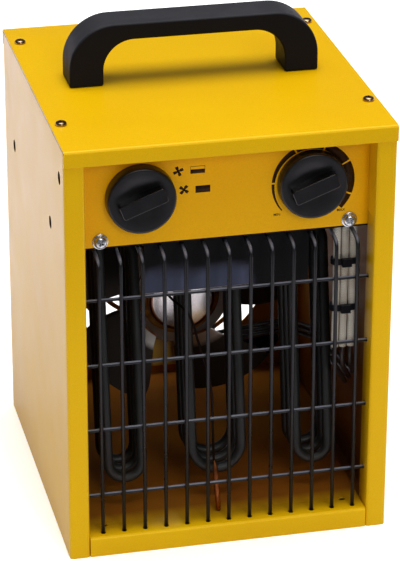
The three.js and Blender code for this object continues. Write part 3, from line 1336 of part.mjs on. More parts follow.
// Panel screws carry a washer under the head, pressed on as one piece.
const panelScrew = turnedAlongZ([
  ...screwProfile(WASHER_RADIUS, SCREW_RADIUS, PANEL_SCREW).slice(0, 3),
  [WASHER_RADIUS, 0],
  [WASHER_RADIUS, WASHER_THICKNESS],
  [PANEL_SCREW_HEAD, WASHER_THICKNESS],
  ...screwProfile(PANEL_SCREW_HEAD, SCREW_RADIUS, PANEL_SCREW).slice(4)
    .map(([radius, place]) => [radius, place + WASHER_THICKNESS]),
], HEAD_ROUND);
for (const [side, hand] of sideNames) {
  addPiece(`panel_screw_${side}`, panelScrew.rotate([90, 0, 0]), ZINC,
    [hand * PANEL_SCREW_X, PANEL_FACE, PANEL_SCREW_HEIGHT]);
}

const rearScrew = turnedAlongY(
  screwProfile(REAR_SCREW_HEAD, SCREW_RADIUS, SHORT_SCREW), SMALL_ROUND);
for (const [side, hand] of sideNames) {
  const x = hand * (HALF_WIDTH - LID_SCREW_INSET);
  const [low, high] = REAR_SCREW_HEIGHTS;
  addPiece(`rear_screw_lower_${side}`, rearScrew, DARK_SCREW, [x, REAR, low]);
  addPiece(`rear_screw_upper_${side}`, rearScrew, DARK_SCREW, [x, REAR, high]);
}

const knob = faceFront(knobBody(), GRIP_ANGLE);
addPiece("selector_knob", knob, BLACK_PLASTIC, [-KNOB_X, KNOB_BACK, KNOB_HEIGHT]);
addPiece("thermostat_knob", knob, BLACK_PLASTIC, [KNOB_X, KNOB_BACK, KNOB_HEIGHT]);
addPiece("selector_spindle", spindle(SWITCH_BORE), STEEL, [-KNOB_X, 0, KNOB_HEIGHT]);
addPiece("thermostat_spindle", spindle(THERMOSTAT_BORE), STEEL, [KNOB_X, 0, KNOB_HEIGHT]);
addPiece("rotary_switch", rotarySwitch(), SWITCH_PLASTIC, [-KNOB_X, 0, KNOB_HEIGHT]);
addPiece("thermostat_body", thermostatBody(), GALVANISED, [KNOB_X, 0, KNOB_HEIGHT]);
addPiece("sensor_capillary", sensorCapillary(), COPPER);
addPiece("thermal_cutout", thermalCutout(), STEEL, [LIMITER_X, behind(LIMITER_BACK), 0]);
addPiece("terminal_block", terminalBlock(), SWITCH_PLASTIC);

const nut = elementNut();
ELEMENTS.forEach((details, i) => {
  addPiece(`element_${details.name}`, element(details), ELEMENT_STEEL);
  legPlaces(details).forEach(([x, y], leg) => {
    addPiece(`element_nut_${2 * i + leg + 1}`, nut, BRASS, [x, y, 0]);
  });
});

for (const index of SLEEVE_NAMES) {
  addPiece(`motor_lead_${index}`, motorLead(index), WHITE_SLEEVE);
}
addPiece("cable_tie_upper", cableTie(TRAY_HEIGHT - UPPER_TIE_DROP), BLACK_PLASTIC);
addPiece("cable_tie_lower", cableTie(TRAY_HEIGHT - LOWER_TIE_DROP), BLACK_PLASTIC);

const onShaft = [0, 0, FAN_HEIGHT];
addPiece("fan_impeller", fanImpeller(), ALUMINIUM, [0, behind(FAN_BACK), FAN_HEIGHT]);
addPiece("fan_nut", fanNut(), STEEL, [0, behind(FAN_BACK), FAN_HEIGHT]);
addPiece("motor_rotor", motorRotor(), STEEL, onShaft);
addPiece("motor_stator", motorStator(), LAMINATION);
addPiece("motor_coil", motorCoil(), COIL_TAPE);
const bracket = motorBracket();
addPiece("motor_front_bracket", bracket, ALUMINIUM, [0, behind(STATOR_FRONT), FAN_HEIGHT]);
addPiece("motor_rear_bracket", bracket.rotate([0, 0, 180]), ALUMINIUM,
  [0, behind(STATOR_REAR), FAN_HEIGHT]);
const motorScrewLength = REAR_FACE - behind(STATOR_FRONT) + BRACKET_SHEET + 3;
const motorScrew = turnedAlongY(
  screwProfile(REAR_SCREW_HEAD, SCREW_RADIUS, motorScrewLength), SMALL_ROUND);
for (const [side, hand] of sideNames) {
  const x = hand * MOTOR_SCREW_X;
  const z = FAN_HEIGHT + MOTOR_SCREW_LIFT;
  addPiece(`motor_screw_${side}`, motorScrew, STEEL, [x, REAR_FACE, z]);
  addPiece(`motor_spacer_${side}`, motorSpacer(), STEEL, [x, 0, z]);
}

addPiece("gland_body", glandBody(), BLACK_PLASTIC, [GLAND_X, 0, GLAND_HEIGHT]);
addPiece("gland_dome_nut", glandDomeNut(), BLACK_PLASTIC, [GLAND_X, 0, GLAND_HEIGHT]);
addPiece("gland_lock_nut", glandLockNut(), BLACK_PLASTIC, [GLAND_X, 0, GLAND_HEIGHT]);

heater.position.y = CENTRING;

export default heater;
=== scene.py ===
"""Looks for the forced air heater: finer shapes, procedural materials, plain studio and camera.

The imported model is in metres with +X to the right, +Y to the back and +Z up. Shapes here are
made in millimetres in the case's own frame, whose front flanges lie at FRONT, and then taken to
the model's frame by one matrix.
"""

import math

import bmesh
import bpy
from mathutils import Matrix, Vector


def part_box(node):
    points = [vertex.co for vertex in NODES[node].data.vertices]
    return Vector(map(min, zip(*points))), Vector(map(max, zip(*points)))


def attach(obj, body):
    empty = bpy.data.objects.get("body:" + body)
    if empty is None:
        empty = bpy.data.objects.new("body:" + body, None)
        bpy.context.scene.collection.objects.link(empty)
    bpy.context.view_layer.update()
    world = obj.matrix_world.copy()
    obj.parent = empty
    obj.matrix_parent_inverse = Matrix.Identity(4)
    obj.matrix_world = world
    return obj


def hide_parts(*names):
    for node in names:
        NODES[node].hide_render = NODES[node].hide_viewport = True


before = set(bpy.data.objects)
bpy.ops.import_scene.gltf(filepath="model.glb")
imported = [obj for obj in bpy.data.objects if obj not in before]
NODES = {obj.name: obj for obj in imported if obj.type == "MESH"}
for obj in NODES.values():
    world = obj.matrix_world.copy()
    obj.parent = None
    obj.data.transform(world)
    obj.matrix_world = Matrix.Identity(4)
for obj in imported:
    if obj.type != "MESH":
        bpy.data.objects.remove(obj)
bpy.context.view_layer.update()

# ---- Sizes of the case and its parts, in millimetres ----

CASE_WIDTH = 200
CASE_DEPTH = 213.6
CASE_HEIGHT = 269
SHEET = 1
FOLD = 2
GAP = 0.3
POST_WIDTH = 12.5
RETURN_DEPTH = 15.7
REST_FLANGE = 23
TOP_FLANGE = 12
WALL_HOLES = [(177, 203), (14.4, 247), (47.8, 205)]
WALL_HOLE_RADIUS = 4
FLOOR_HEIGHT = 13
FLOOR_HOLES = 76
FLOOR_HOLE_BACK = 15
FLOOR_HOLE_RADIUS = 2
LIP_HEIGHT = 10.2
SCREW_RADIUS = 2
SCREW_HOLE = 2.3
LID_SCREW_INSET = 6.5
LID_SCREW_BACKS = (41.5, CASE_DEPTH - 28.6)
REAR_SCREW_HEIGHTS = (36, 238)
PANEL_SETBACK = 16
PANEL_BOTTOM = 200
PANEL_WING = 12
PANEL_SCREW_X = 76
PANEL_SCREW_HEIGHT = 203.7
TRAY_HEIGHT = 209
SHIELD_BACK = 29
SHIELD_ENDS = (-47, 55)
SHIELD_BOTTOM = 160
SHIELD_HEM = 4

KNOB_X = 52
KNOB_HEIGHT = 230.3
KNOB_RADIUS = 21
KNOB_RIM = 7.5
KNOB_GAP = 0.5
KNOB_DISH = 3.6
KNOB_BOWL = 0.6
GRIP_LENGTH = 29
GRIP_WIDTH = 10
GRIP_CORNER = 1.6
GRIP_NARROWING = (0.985, 0.93)
GRIP_RISE = 12.5
GRIP_ANGLE = 21
BUSH_HOLE = 5.6

HANDLE_SPAN = 155.2
HANDLE_FOOT = 21
HANDLE_RISE = 39
HANDLE_BAR = 10.5
HANDLE_DEPTH = 25
HANDLE_BACK = 111
HANDLE_OUTER_RADIUS = 28
HANDLE_INNER_RADIUS = 19

WIRE_RADIUS = 1.2
CROSS_WIRE_RADIUS = 1.1
WIRE_WELD = 0.4
WIRE_COUNT = 13
WIRE_PITCH = 13.2
WIRE_CENTRE = 1
WIRE_BOTTOM_BACK = 6
WIRE_TOP_BACK = 10
WIRE_TOP = 192.5
WIRE_TAIL = 16
WIRE_BELOW_FLOOR = 3
WIRE_BEND = 5
WIRE_HOLE_ROOM = 0.54
FLOOR_WIRE_ROOM = 0.48
WELD_SIZE = (1.5, 0.8, 1.5)
CROSS_WIRE_HEIGHTS = (38.2, 82, 125, 167.6)
CROSS_WIRE_REACH = 4

TUBE_RADIUS = 3.25
COIL_PITCH = 12
COIL_TURNS = 3
COIL_BOTTOM = 30
COIL_TOP = 186
COIL_FRONT = 35
COIL_LEAN = 28
TERMINAL_HEIGHT = 14
TERMINAL_PIN_RADIUS = 1.5
TERMINAL_PIN = 9
NECK = 6
ABOVE_COIL = 4
TURN_STEPS = 16
BEAD_HEIGHT = 3.2
ELEMENTS = {"left": (-58, 28), "centre": (0.5, 38), "right": (62, 27)}

BULB_X = -3
BULB_BACK = 17
BULB_RADIUS = 1.7
BULB_HEIGHT = 34
BULB_LEAN = 2.4
CAPILLARY_RADIUS = 0.8
CAPILLARY_X = -31
CAPILLARY_BACK = 46
CAPILLARY_BEND = 8
THERMOSTAT_REACH = 21

SLEEVE_RADIUS = 2.3
SLEEVE_PITCH = 5
SLEEVE_X = 78
SLEEVE_BACK = 30
SLEEVE_BOTTOM = 112
SLEEVE_RISE = 3.6
SLEEVE_BEND = 3.4
BRAID_STEPS = 24
BRAID_WANDER = 0.12
BRAID_SWELL = 0.03
LEAD_RADIUS = 1.5
LEAD_BEND = 12
LEAD_FROM_WALL = 9
TIE_HEIGHTS = {"upper": 171, "lower": 140}
TIE_WIDTH = 4
TIE_THICKNESS = 1.2
TIE_LOCK = 5.2
TERMINAL_BLOCK_BACK = 61.07

FAN_HEIGHT = 104
FAN_BACK = 134
FAN_RADIUS = 75
FAN_BLADES = 5
BLADE_THICKNESS = 1.4
BLADE_ROOT = 30
BLADE_PITCH = 27
BLADE_SPAN = 50
BLADE_SWEEP = 0.22
BLADE_CAMBER = 0.05
BLADE_LEAN = 0.72
BLADES_AT = 2.4
HUB_RADII = (22, 26, 34)
HUB_STEP = 4
HUB_WALL = 1.4
SHAFT_BORE = 2.8
STATOR_FRONT = 168
STATOR_BELOW = 52
YOKE_HEIGHT = 12
COIL_WIDTH = 34
COIL_OVERHANG = 8
MOTOR_SCREW_X = 22
MOTOR_SCREW_LIFT = 18

INLET_FIRST = 24
INLET_SLOT = 9.4
INLET_RIB = 3
INLET_RINGS = 5
INLET_SPOKES = 6
INLET_SPOKE_WIDTH = 6

GLAND_X = 72
GLAND_HEIGHT = 33
GLAND_RADIUS = 8
GLAND_BORE = 4.5
GLAND_ACROSS_FLATS = 22
GLAND_FLANGE = 4
GLAND_DOME = 10
GLAND_RIBS = 14
GLAND_FLUTE = 0.045
GLAND_FLUTED = (1, 2, 3, 4)

FOLD_STEPS = 6
ARC_STEPS = 14
EDGE = 0.28

HALF_WIDTH = CASE_WIDTH / 2
FRONT = -CASE_DEPTH / 2
REAR = CASE_DEPTH / 2
WALL_INSIDE = HALF_WIDTH - SHEET
POST_INSIDE = HALF_WIDTH - POST_WIDTH
INNER_HALF = WALL_INSIDE - GAP
SIDE_TOP = CASE_HEIGHT - SHEET
PANEL_FACE = FRONT + PANEL_SETBACK
PANEL_BACK = PANEL_FACE + SHEET
REAR_FACE = REAR - SHEET
REAR_INSIDE = REAR_FACE - SHEET
PANEL_TOP = SIDE_TOP - SHEET - GAP
KNOB_BACK = PANEL_FACE - KNOB_GAP
LID_FRONT = FRONT - GAP - SHEET
SCREW_CORNER = HALF_WIDTH - LID_SCREW_INSET
HANDLE_FEET = (-HANDLE_SPAN / 2 + HANDLE_FOOT / 2, HANDLE_SPAN / 2 - HANDLE_FOOT / 2)

# The case's frame in millimetres to the model's frame in metres, by the place of the side panel.
MILLIMETRE = 0.001
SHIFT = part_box("right_panel")[0].y / MILLIMETRE - FRONT
TO_MODEL = Matrix.Scale(MILLIMETRE, 4) @ Matrix.Translation((0, SHIFT, 0))


def behind(distance):
    """The y of a place that far behind the front flanges."""
    return FRONT + distance


def add_object(name, data):
    """A new object in the scene."""
    made = bpy.data.objects.new(name, data)
    bpy.context.scene.collection.objects.link(made)
    return made


def mesh_data(name, mesh):
    """Mesh data with what the working mesh holds, which is freed."""
    data = bpy.data.meshes.new(name)
    mesh.to_mesh(data)
    mesh.free()
    return data


# ---- Camera ----

CAMERA_PLACE = (-0.3549, -1.5595, 0.8660)
CAMERA_FORWARD = Vector((0.20515, 0.88437, -0.41930))
CAMERA_RIGHT = Vector((0.97449, -0.22440, 0.00349))
CAMERA_UP = Vector((0.09101, 0.40932, 0.90785))
CAMERA_LENS = 177.7


def make_camera():
    """The camera at the photograph's viewing angle."""
    data = bpy.data.cameras.new("camera")
    data.lens = CAMERA_LENS
    data.sensor_width = 36
    data.clip_end = 50
    camera = add_object("camera", data)
    turn = Matrix((CAMERA_RIGHT, CAMERA_UP, -CAMERA_FORWARD)).transposed().to_4x4()
    camera.matrix_world = Matrix.Translation(CAMERA_PLACE) @ turn
    bpy.context.scene.camera = camera


make_camera()

# ---- Material tools ----


def colour(red, green, blue):
    """A linear colour with alpha from display values, 0 to 255."""
    def linear(value):
        share = value / 255
        if share <= 0.04045:
            return share / 12.92
        return ((share + 0.055) / 1.055) ** 2.4
    return (linear(red), linear(green), linear(blue), 1)


def node(tree, kind, inputs=None, **settings):
    """Adds a shader node. An input is a value, or the output socket that feeds it."""
    made = tree.nodes.new(kind)
    for name, value in settings.items():
        setattr(made, name, value)
    for name, value in (inputs or {}).items():
        if isinstance(value, bpy.types.NodeSocket):
            tree.links.new(value, made.inputs[name])
        else:
            made.inputs[name].default_value = value
    return made


def new_material(name, **fixed):
    """A material and the place on the object. The fixed values are the same all over."""
    material = bpy.data.materials.new(name)
    material.use_nodes = True
    tree = material.node_tree
    for key, value in fixed.items():
        tree.nodes["Principled BSDF"].inputs[key.replace("_", " ")].default_value = value
    return material, place_in(tree)


def finished(material, tone, rough, normal):
    """The material with its colour, roughness and bump linked."""
    tree = material.node_tree
    inputs = tree.nodes["Principled BSDF"].inputs
    for name, source in (("Base Color", tone), ("Roughness", rough), ("Normal", normal)):
        tree.links.new(source, inputs[name])
    return material


def place_in(tree, stretch=(1, 1, 1)):
    """Places on the object, in metres, stretched along each axis."""
    place = node(tree, "ShaderNodeTexCoord").outputs["Object"]
    return node(tree, "ShaderNodeMapping", {"Vector": place, "Scale": stretch}).outputs[0]


def stretched(place, stretch):
    """The place on the object again, stretched along each axis."""
    return place_in(place.id_data, stretch)


# The tools from here on add their nodes to the tree of the socket that they are given first.


def parts(vector):
    """The X, Y and Z of a vector."""
    return node(vector.id_data, "ShaderNodeSeparateXYZ", {"Vector": vector}).outputs


def facing_up(place, low, high):
    """How far a face looks up, 0 to 1 between two values of its normal's Z."""
    normal = node(place.id_data, "ShaderNodeNewGeometry").outputs["Normal"]
    return remap(parts(normal)["Z"], low, high, 0, 1)


def noise(place, scale, detail=2.0, rough=0.5):
    """Cloudy noise, with most of its values between 0.3 and 0.7."""
    return node(place.id_data, "ShaderNodeTexNoise", {
        "Vector": place, "Scale": scale, "Detail": detail, "Roughness": rough}).outputs[0]


def remap(value, low, high, to_low, to_high):
    """Takes one range to another and holds the value at its ends."""
    return node(value.id_data, "ShaderNodeMapRange", {
        "Value": value, "From Min": low, "From Max": high, "To Min": to_low,
        "To Max": to_high}).outputs[0]


def spread(value, to_low, to_high):
    """Takes the middle of a noise to a range."""
    return remap(value, 0.3, 0.7, to_low, to_high)


def blend_colours(share, first, second):
    """From the first colour to the second by a share."""
    return node(share.id_data, "ShaderNodeMix", {0: share, 6: first, 7: second},
                data_type="RGBA").outputs[2]


def maths(operation, first, second=0.0):
    return node(first.id_data, "ShaderNodeMath", {0: first, 1: second},
                operation=operation).outputs[0]


def bump(height, strength, depth, under=None):
    """A bump as deep as given, in metres, on top of the one under it."""
    inputs = {"Height": height, "Strength": strength, "Distance": depth}
    if under is not None:
        inputs["Normal"] = under
    return node(height.id_data, "ShaderNodeBump", inputs).outputs[0]


# ---- Materials ----


PAINT_GLINT = (1.0, 0.72, 0.1, 1.0)
# Painted shade inside the air duct: a darker brown for its walls.
DUCT_SHADE_BROWN = colour(140, 68, 23)
SEAM_SHADE = colour(52, 32, 14)
# Painted highlight on the tops of the wires.
WIRE_TOP_HIGHLIGHT = colour(128, 130, 142)
# Painted reflection: the brown ring on the fan's aluminium.
RING_REFLECTION_BROWN = colour(116, 66, 30)
# Painted highlight along the heat shield's hem.
HEM_HIGHLIGHT = colour(176, 180, 196)
# Painted shade on the heat shield.
PAINTED_SHIELD_SHADE = colour(16, 16, 18)
# Painted shade near the tray's front edge, under the control panel.
ZINC_FRONT_SHADE = colour(30, 24, 18)

DEEP_INSIDE = 0.026
EDGE_ROOM = 0.3
SEAM_HEIGHT = 0.7
HOLE_EDGE = 0.03
RING_REFLECTION_WIDTH = (0.0008, 0.0013)
TONE_CHANGE = 0.004
SHIELD_SHADE_CHANGE = (0.008, 0.006)
SHIELD_SHADE_ABOVE_HEM = 10
SHIELD_SHADE_START = 0.62
ZINC_SHADE_SPAN = (0.04, 0.08)


def inside_duct(place):
    """How far a place lies inside the air duct, 0 to 1: where its walls behind the grille get
    painted brown shade.
    """
    part = parts(place)
    edge = EDGE_ROOM * MILLIMETRE
    start = (FRONT + SHIFT + 2 * SHEET) * MILLIMETRE
    end = (REAR_INSIDE + SHIFT) * MILLIMETRE + edge
    across = maths("ABSOLUTE", part["X"])
    share = maths("LESS_THAN", across, WALL_INSIDE * MILLIMETRE + edge)
    above = maths("GREATER_THAN", part["Z"], FLOOR_HEIGHT * MILLIMETRE - edge)
    beside = maths("GREATER_THAN", across, (POST_INSIDE - 2 * SHEET) * MILLIMETRE)
    trough = maths("GREATER_THAN", part["Z"], SHEET / 2 * MILLIMETRE)
    above = maths("MAXIMUM", above, maths("MULTIPLY", beside, trough))
    below = maths("LESS_THAN", part["Z"], TRAY_HEIGHT * MILLIMETRE)
    before = maths("LESS_THAN", part["Y"], end)
    deep = remap(part["Y"], start, start + DEEP_INSIDE, 0, 1)
    for limit in (above, below, before, deep):
        share = maths("MULTIPLY", share, limit)
    return share


def between(value, low, high):
    """1 where a value lies between two places in millimetres, and 0 elsewhere."""
    above = maths("GREATER_THAN", value, low * MILLIMETRE)
    return maths("MULTIPLY", above, maths("LESS_THAN", value, high * MILLIMETRE))


def painted_seam_shade(place):
    """Painted shade on the side panels: in the seam under the lid and on the edges of the holes."""
    part = parts(place)
    across = maths("ABSOLUTE", part["X"])
    outer = maths("GREATER_THAN", across, (HALF_WIDTH - 0.2) * MILLIMETRE)
    under_lid = between(part["Z"], SIDE_TOP - SEAM_HEIGHT, SIDE_TOP + 0.1)
    seam = maths("MULTIPLY", outer, under_lid)
    flat = between(part["Y"], FRONT + SHIFT + 2 * FOLD, REAR + SHIFT - 2 * FOLD)
    in_wall = between(across, WALL_INSIDE + HOLE_EDGE, HALF_WIDTH - HOLE_EDGE)
    edges = maths("MULTIPLY", in_wall, flat)
    high = between(part["Z"], FLOOR_HEIGHT, SIDE_TOP - 2 * SHEET)
    return maths("MAXIMUM", seam, maths("MULTIPLY", edges, high))


def powder_coat(name, base, deep, peel, duct_shade_strength=1.0):
    """Powder coat: slow drift of the colour, orange peel, fine grit and uneven gloss. Inside the
    air duct it gets a painted brown shade and a rougher gloss."""
    material, place = new_material(name, Specular_Tint=PAINT_GLINT, Coat_Weight=0.12,
                                   Coat_Roughness=0.3)
    drift = noise(place, 9, 3)
    unshaded = blend_colours(spread(drift, 0, 1), base, deep)
    uneven = remap(drift, 0.2, 0.8, 0.8 * duct_shade_strength, duct_shade_strength)
    # Painted shade: the paint inside the air duct darkens towards brown.
    duct_shade_share = maths("MULTIPLY", inside_duct(place), uneven)
    duct_shaded = blend_colours(duct_shade_share, unshaded, DUCT_SHADE_BROWN)
    # Painted shade in the seam under the lid and on the edges of the wall holes.
    tone = blend_colours(painted_seam_shade(place), duct_shaded, SEAM_SHADE)
    speck = remap(noise(place, 1400, 1), 0.35, 0.65, 0.97, 1.03)
    shade = node(place.id_data, "ShaderNodeHueSaturation",
                 {"Color": tone, "Value": speck}).outputs[0]
    gloss = spread(noise(place, 40, 2), 0.32, 0.37)
    rough = maths("MAXIMUM", gloss, remap(duct_shade_share, 0, 1, 0, 0.8))
    peel_bump = bump(noise(place, 420, 2, 0.4), peel, 0.00006)
    grit_bump = bump(noise(place, 2600, 2), 0.2, 0.00002, peel_bump)
    return finished(material, shade, rough, grit_bump)


def moulded_plastic(name, base, light, gloss, grain=900, depth=0.00007, shine=0.5, top_light_tone=None):
    """Moulded plastic with a fine leathery grain, with a painted lighter tone on its upper faces if
    asked.
    """
    material, place = new_material(name, Specular_IOR_Level=shine)
    cells = node(place.id_data, "ShaderNodeTexVoronoi", {"Vector": place, "Scale": grain},
                 feature="SMOOTH_F1").outputs[0]
    tone = blend_colours(noise(place, 30, 4), base, light)
    if top_light_tone:
        # Painted light: the upper faces are paler, as if lit from above.
        top_light_share = maths("MULTIPLY", facing_up(place, 0.2, 0.95),
                       spread(noise(place, 60, 4, 0.6), 0.75, 1))
        tone = blend_colours(top_light_share, tone, top_light_tone)
    rough = spread(noise(place, 120, 4, 0.6), *gloss)
    scuffs = noise(stretched(place, (1, 0.25, 1)), 260, 4, 0.65)
    return finished(material, tone, rough, bump(scuffs, 0.12, 0.00004, bump(cells, 0.5, depth)))


def coated_wire(name):
    """Black dip coating on wire: smooth, with small runs, and a painted grey highlight on its upper
    faces.
    """
    material, place = new_material(name, Specular_IOR_Level=0.2, Coat_Weight=0.15,
                                   Coat_Roughness=0.14)
    runs = noise(stretched(place, (1, 1, 0.15)), 200, 2)
    tone = blend_colours(remap(runs, 0.4, 0.8, 0, 1), colour(23, 24, 27), colour(31, 32, 36))
    # Painted highlight on the upper faces of the wires.
    top_highlighted = blend_colours(facing_up(place, 0.35, 0.8), tone, WIRE_TOP_HIGHLIGHT)
    return finished(material, top_highlighted, spread(noise(place, 220, 3), 0.26, 0.4),
                    bump(runs, 0.05, 0.00004))


def heated_steel(name):
    """Sheath of the heating elements: dark oxide, bluish and brown clouds, faint draw lines."""
    material, place = new_material(name, Metallic=0.35)
    clouds = noise(place, 45, 5, 0.6)
    brown = remap(noise(place, 18, 3), 0.5, 0.75, 0, 0.55)
    tone = blend_colours(clouds, colour(26, 28, 28), colour(44, 47, 46))
    rusty = blend_colours(brown, tone, colour(48, 38, 31))
    lines = noise(stretched(place, (1, 1, 0.06)), 900, 2)
    pits = bump(noise(place, 700, 3), 0.25, 0.00005)
    return finished(material, rusty, spread(clouds, 0.34, 0.52), bump(lines, 0.15, 0.00003, pits))


def bright_metal(name, base, shadow, gloss, brush=(1, 1, 1), scale=400):
    """Bare metal with clouds of tone and fine marks, drawn out along one axis where asked."""
    material, place = new_material(name, Metallic=1.0)
    marks = noise(stretched(place, brush), scale, 4, 0.6)
    clouds = noise(place, 60, 4, 0.55)
    tone = blend_colours(remap(clouds, 0.3, 0.75, 0, 1), base, shadow)
    return finished(material, tone, spread(marks, *gloss), bump(marks, 0.12, 0.00002))


def fan_metal(name, inner, outer, ring, edge, gloss):
    """Pressed aluminium of the fan: one tone inside a radius and another outside, in
    millimetres, and a painted brown reflection in a ring at a radius."""
    material, place = new_material(name, Metallic=1.0)
    part = parts(place)
    rise = maths("SUBTRACT", part["Z"], FAN_HEIGHT * MILLIMETRE)
    squares = maths("ADD", maths("POWER", part["X"], 2.0), maths("POWER", rise, 2.0))
    radius = maths("SQRT", squares)
    marks = noise(place, 90, 4, 0.6)
    wander = spread(noise(place, 50, 3), -MILLIMETRE, MILLIMETRE)
    past = maths("SUBTRACT", maths("ADD", radius, wander), edge * MILLIMETRE)
    tone = blend_colours(remap(past, 0, TONE_CHANGE, 0, 1), inner, outer)
    # Painted reflection: a brown ring at a radius.
    off = maths("ABSOLUTE", maths("SUBTRACT", radius, ring * MILLIMETRE))
    marked = blend_colours(remap(off, *RING_REFLECTION_WIDTH, 1, 0), tone, RING_REFLECTION_BROWN)
    rough = maths("MAXIMUM", spread(marks, *gloss), remap(past, 0, TONE_CHANGE, 0, 0.5))
    return finished(material, marked, rough, bump(marks, 0.05, 0.00002))


def shaded_dark_sheet(name):
    """Dark sheet over the elements: its bluish grey is a painted reflection, with painted shade on
    its upper part and at its right end, and a painted highlight along its hem.
    """
    material, place = new_material(name, Metallic=0.6)
    part = parts(place)
    streaks = noise(stretched(place, (1, 1, 0.1)), 160, 4, 0.6)
    # Painted reflection: the bluish grey of the dark sheet.
    tone = blend_colours(streaks, colour(64, 71, 92), colour(38, 44, 60))
    low = (SHIELD_BOTTOM + SHIELD_SHADE_ABOVE_HEM) * MILLIMETRE
    left, right = SHIELD_ENDS
    start = (left + SHIELD_SHADE_START * (right - left)) * MILLIMETRE
    wander = spread(noise(place, 40, 3), -3 * MILLIMETRE, 3 * MILLIMETRE)
    height = maths("ADD", part["Z"], wander)
    across = maths("ADD", part["X"], wander)
    # Painted shade on the upper part and at the right end.
    shield_shade_share = maths("MAXIMUM", remap(height, low, low + SHIELD_SHADE_CHANGE[0], 0, 1),
                 remap(across, start, start + SHIELD_SHADE_CHANGE[1], 0, 1))
    # Painted highlight along the hem.
    hem = maths("LESS_THAN", part["Z"], (SHIELD_BOTTOM + 1) * MILLIMETRE)
    shield_shaded = blend_colours(shield_shade_share, blend_colours(hem, tone, HEM_HIGHLIGHT), PAINTED_SHIELD_SHADE)
    rough = maths("MAXIMUM", spread(streaks, 0.32, 0.45), remap(shield_shade_share, 0, 1, 0, 0.8))
    return finished(material, shield_shaded, rough, bump(streaks, 0.1, 0.00002))


def spangled_zinc(name):
    """Hot-dip galvanised sheet with its spangle, and painted shade near its front edge."""
    material, place = new_material(name, Metallic=0.9)
    cells = node(place.id_data, "ShaderNodeTexVoronoi", {"Vector": place, "Scale": 140})
    shade = node(place.id_data, "ShaderNodeSeparateColor",
                 {"Color": cells.outputs["Color"]}).outputs[0]
    unshaded = blend_colours(shade, colour(150, 155, 158), colour(196, 200, 202))
    start, end = ((FRONT + SHIFT) * MILLIMETRE + depth for depth in ZINC_SHADE_SPAN)
    # Painted shade: darker near the front edge, under the control panel.
    tone = blend_colours(remap(parts(place)["Y"], start, end, 0, 1), ZINC_FRONT_SHADE, unshaded)
    return finished(material, tone, remap(shade, 0, 1, 0.3, 0.5),
                    bump(noise(place, 300, 3), 0.2, 0.00004))


def heated_copper(name):
    """Copper with brown tarnish in clouds."""
    material, place = new_material(name, Metallic=1.0)
    tarnish = remap(noise(place, 90, 5, 0.6), 0.35, 0.7, 0, 1)
    tone = blend_colours(tarnish, colour(158, 94, 52), colour(84, 48, 26))
    return finished(material, tone, remap(tarnish, 0, 1, 0.24, 0.5),
                    bump(noise(place, 900, 2), 0.2, 0.00003))


def laminated_steel(name):
    """Edges of stacked laminations, half a millimetre each, with an oily varnish."""
    material, place = new_material(name, Metallic=0.8, Coat_Weight=0.2)
    sheets = node(place.id_data, "ShaderNodeTexWave", {
        "Vector": place, "Scale": 320.0, "Distortion": 0.6}, bands_direction="Y").outputs[1]
    spots = noise(place, 70, 5, 0.6)
    tone = blend_colours(sheets, colour(74, 74, 76), colour(140, 140, 142))
    marked = blend_colours(remap(spots, 0.5, 0.75, 0, 0.7), tone, colour(96, 74, 52))
    return finished(material, marked, spread(spots, 0.35, 0.6), bump(sheets, 0.6, 0.0001))


def wound_tape(name):
    """Insulating tape wound round the motor's coil: overlapping bands and a weave."""
    material, place = new_material(name)
    bands = node(place.id_data, "ShaderNodeTexWave", {
        "Vector": stretched(place, (1, 0.25, 0.25)), "Scale": 45.0, "Distortion": 0.8},
        wave_profile="SAW", bands_direction="X").outputs[1]
    tone = blend_colours(bands, colour(196, 152, 62), colour(150, 106, 34))
    return finished(material, tone, spread(noise(place, 1200, 2), 0.4, 0.6),
                    bump(bands, 0.7, 0.0002))


def braided_sleeve(name):
    """Glass-fibre sleeve: a fine braid, off-white with brownish soiling."""
    material, place = new_material(name, Sheen_Weight=0.3, Sheen_Roughness=0.5)
    strands = []
    for slant in (1, -1):
        turned = node(place.id_data, "ShaderNodeMapping", {
            "Vector": place, "Rotation": (0, slant * 0.75, slant * 0.6)}).outputs[0]
        strands.append(node(place.id_data, "ShaderNodeTexWave", {
            "Vector": turned, "Scale": 330.0, "Distortion": 0.4}).outputs[1])
    braid = maths("MAXIMUM", *strands)
    soil = remap(noise(place, 55, 5, 0.65), 0.48, 0.75, 0, 0.6)
    thread = blend_colours(braid, colour(186, 178, 164), colour(236, 231, 220))
    tone = blend_colours(soil, thread, colour(170, 146, 118))
    return finished(material, tone, remap(braid, 0, 1, 0.85, 0.6), bump(braid, 0.6, 0.00015))


def printed_ink(name, base, faint):
    """Screen print: a dense dull ink film with faint thin places."""
    material, place = new_material(name, Specular_IOR_Level=0.12)
    thin = remap(noise(place, 500, 4, 0.6), 0.45, 0.8, 0, 0.6)
    return finished(material, blend_colours(thin, base, faint),
                    spread(noise(place, 90), 0.4, 0.55), bump(noise(place, 1500, 2), 0.2, 0.00002))


YELLOW = powder_coat("yellow_powder_coat", colour(248, 196, 6), colour(243, 188, 4), 0.18)
PANEL_YELLOW = powder_coat("panel_powder_coat", colour(255, 187, 8), colour(251, 181, 6), 0.25, 0)
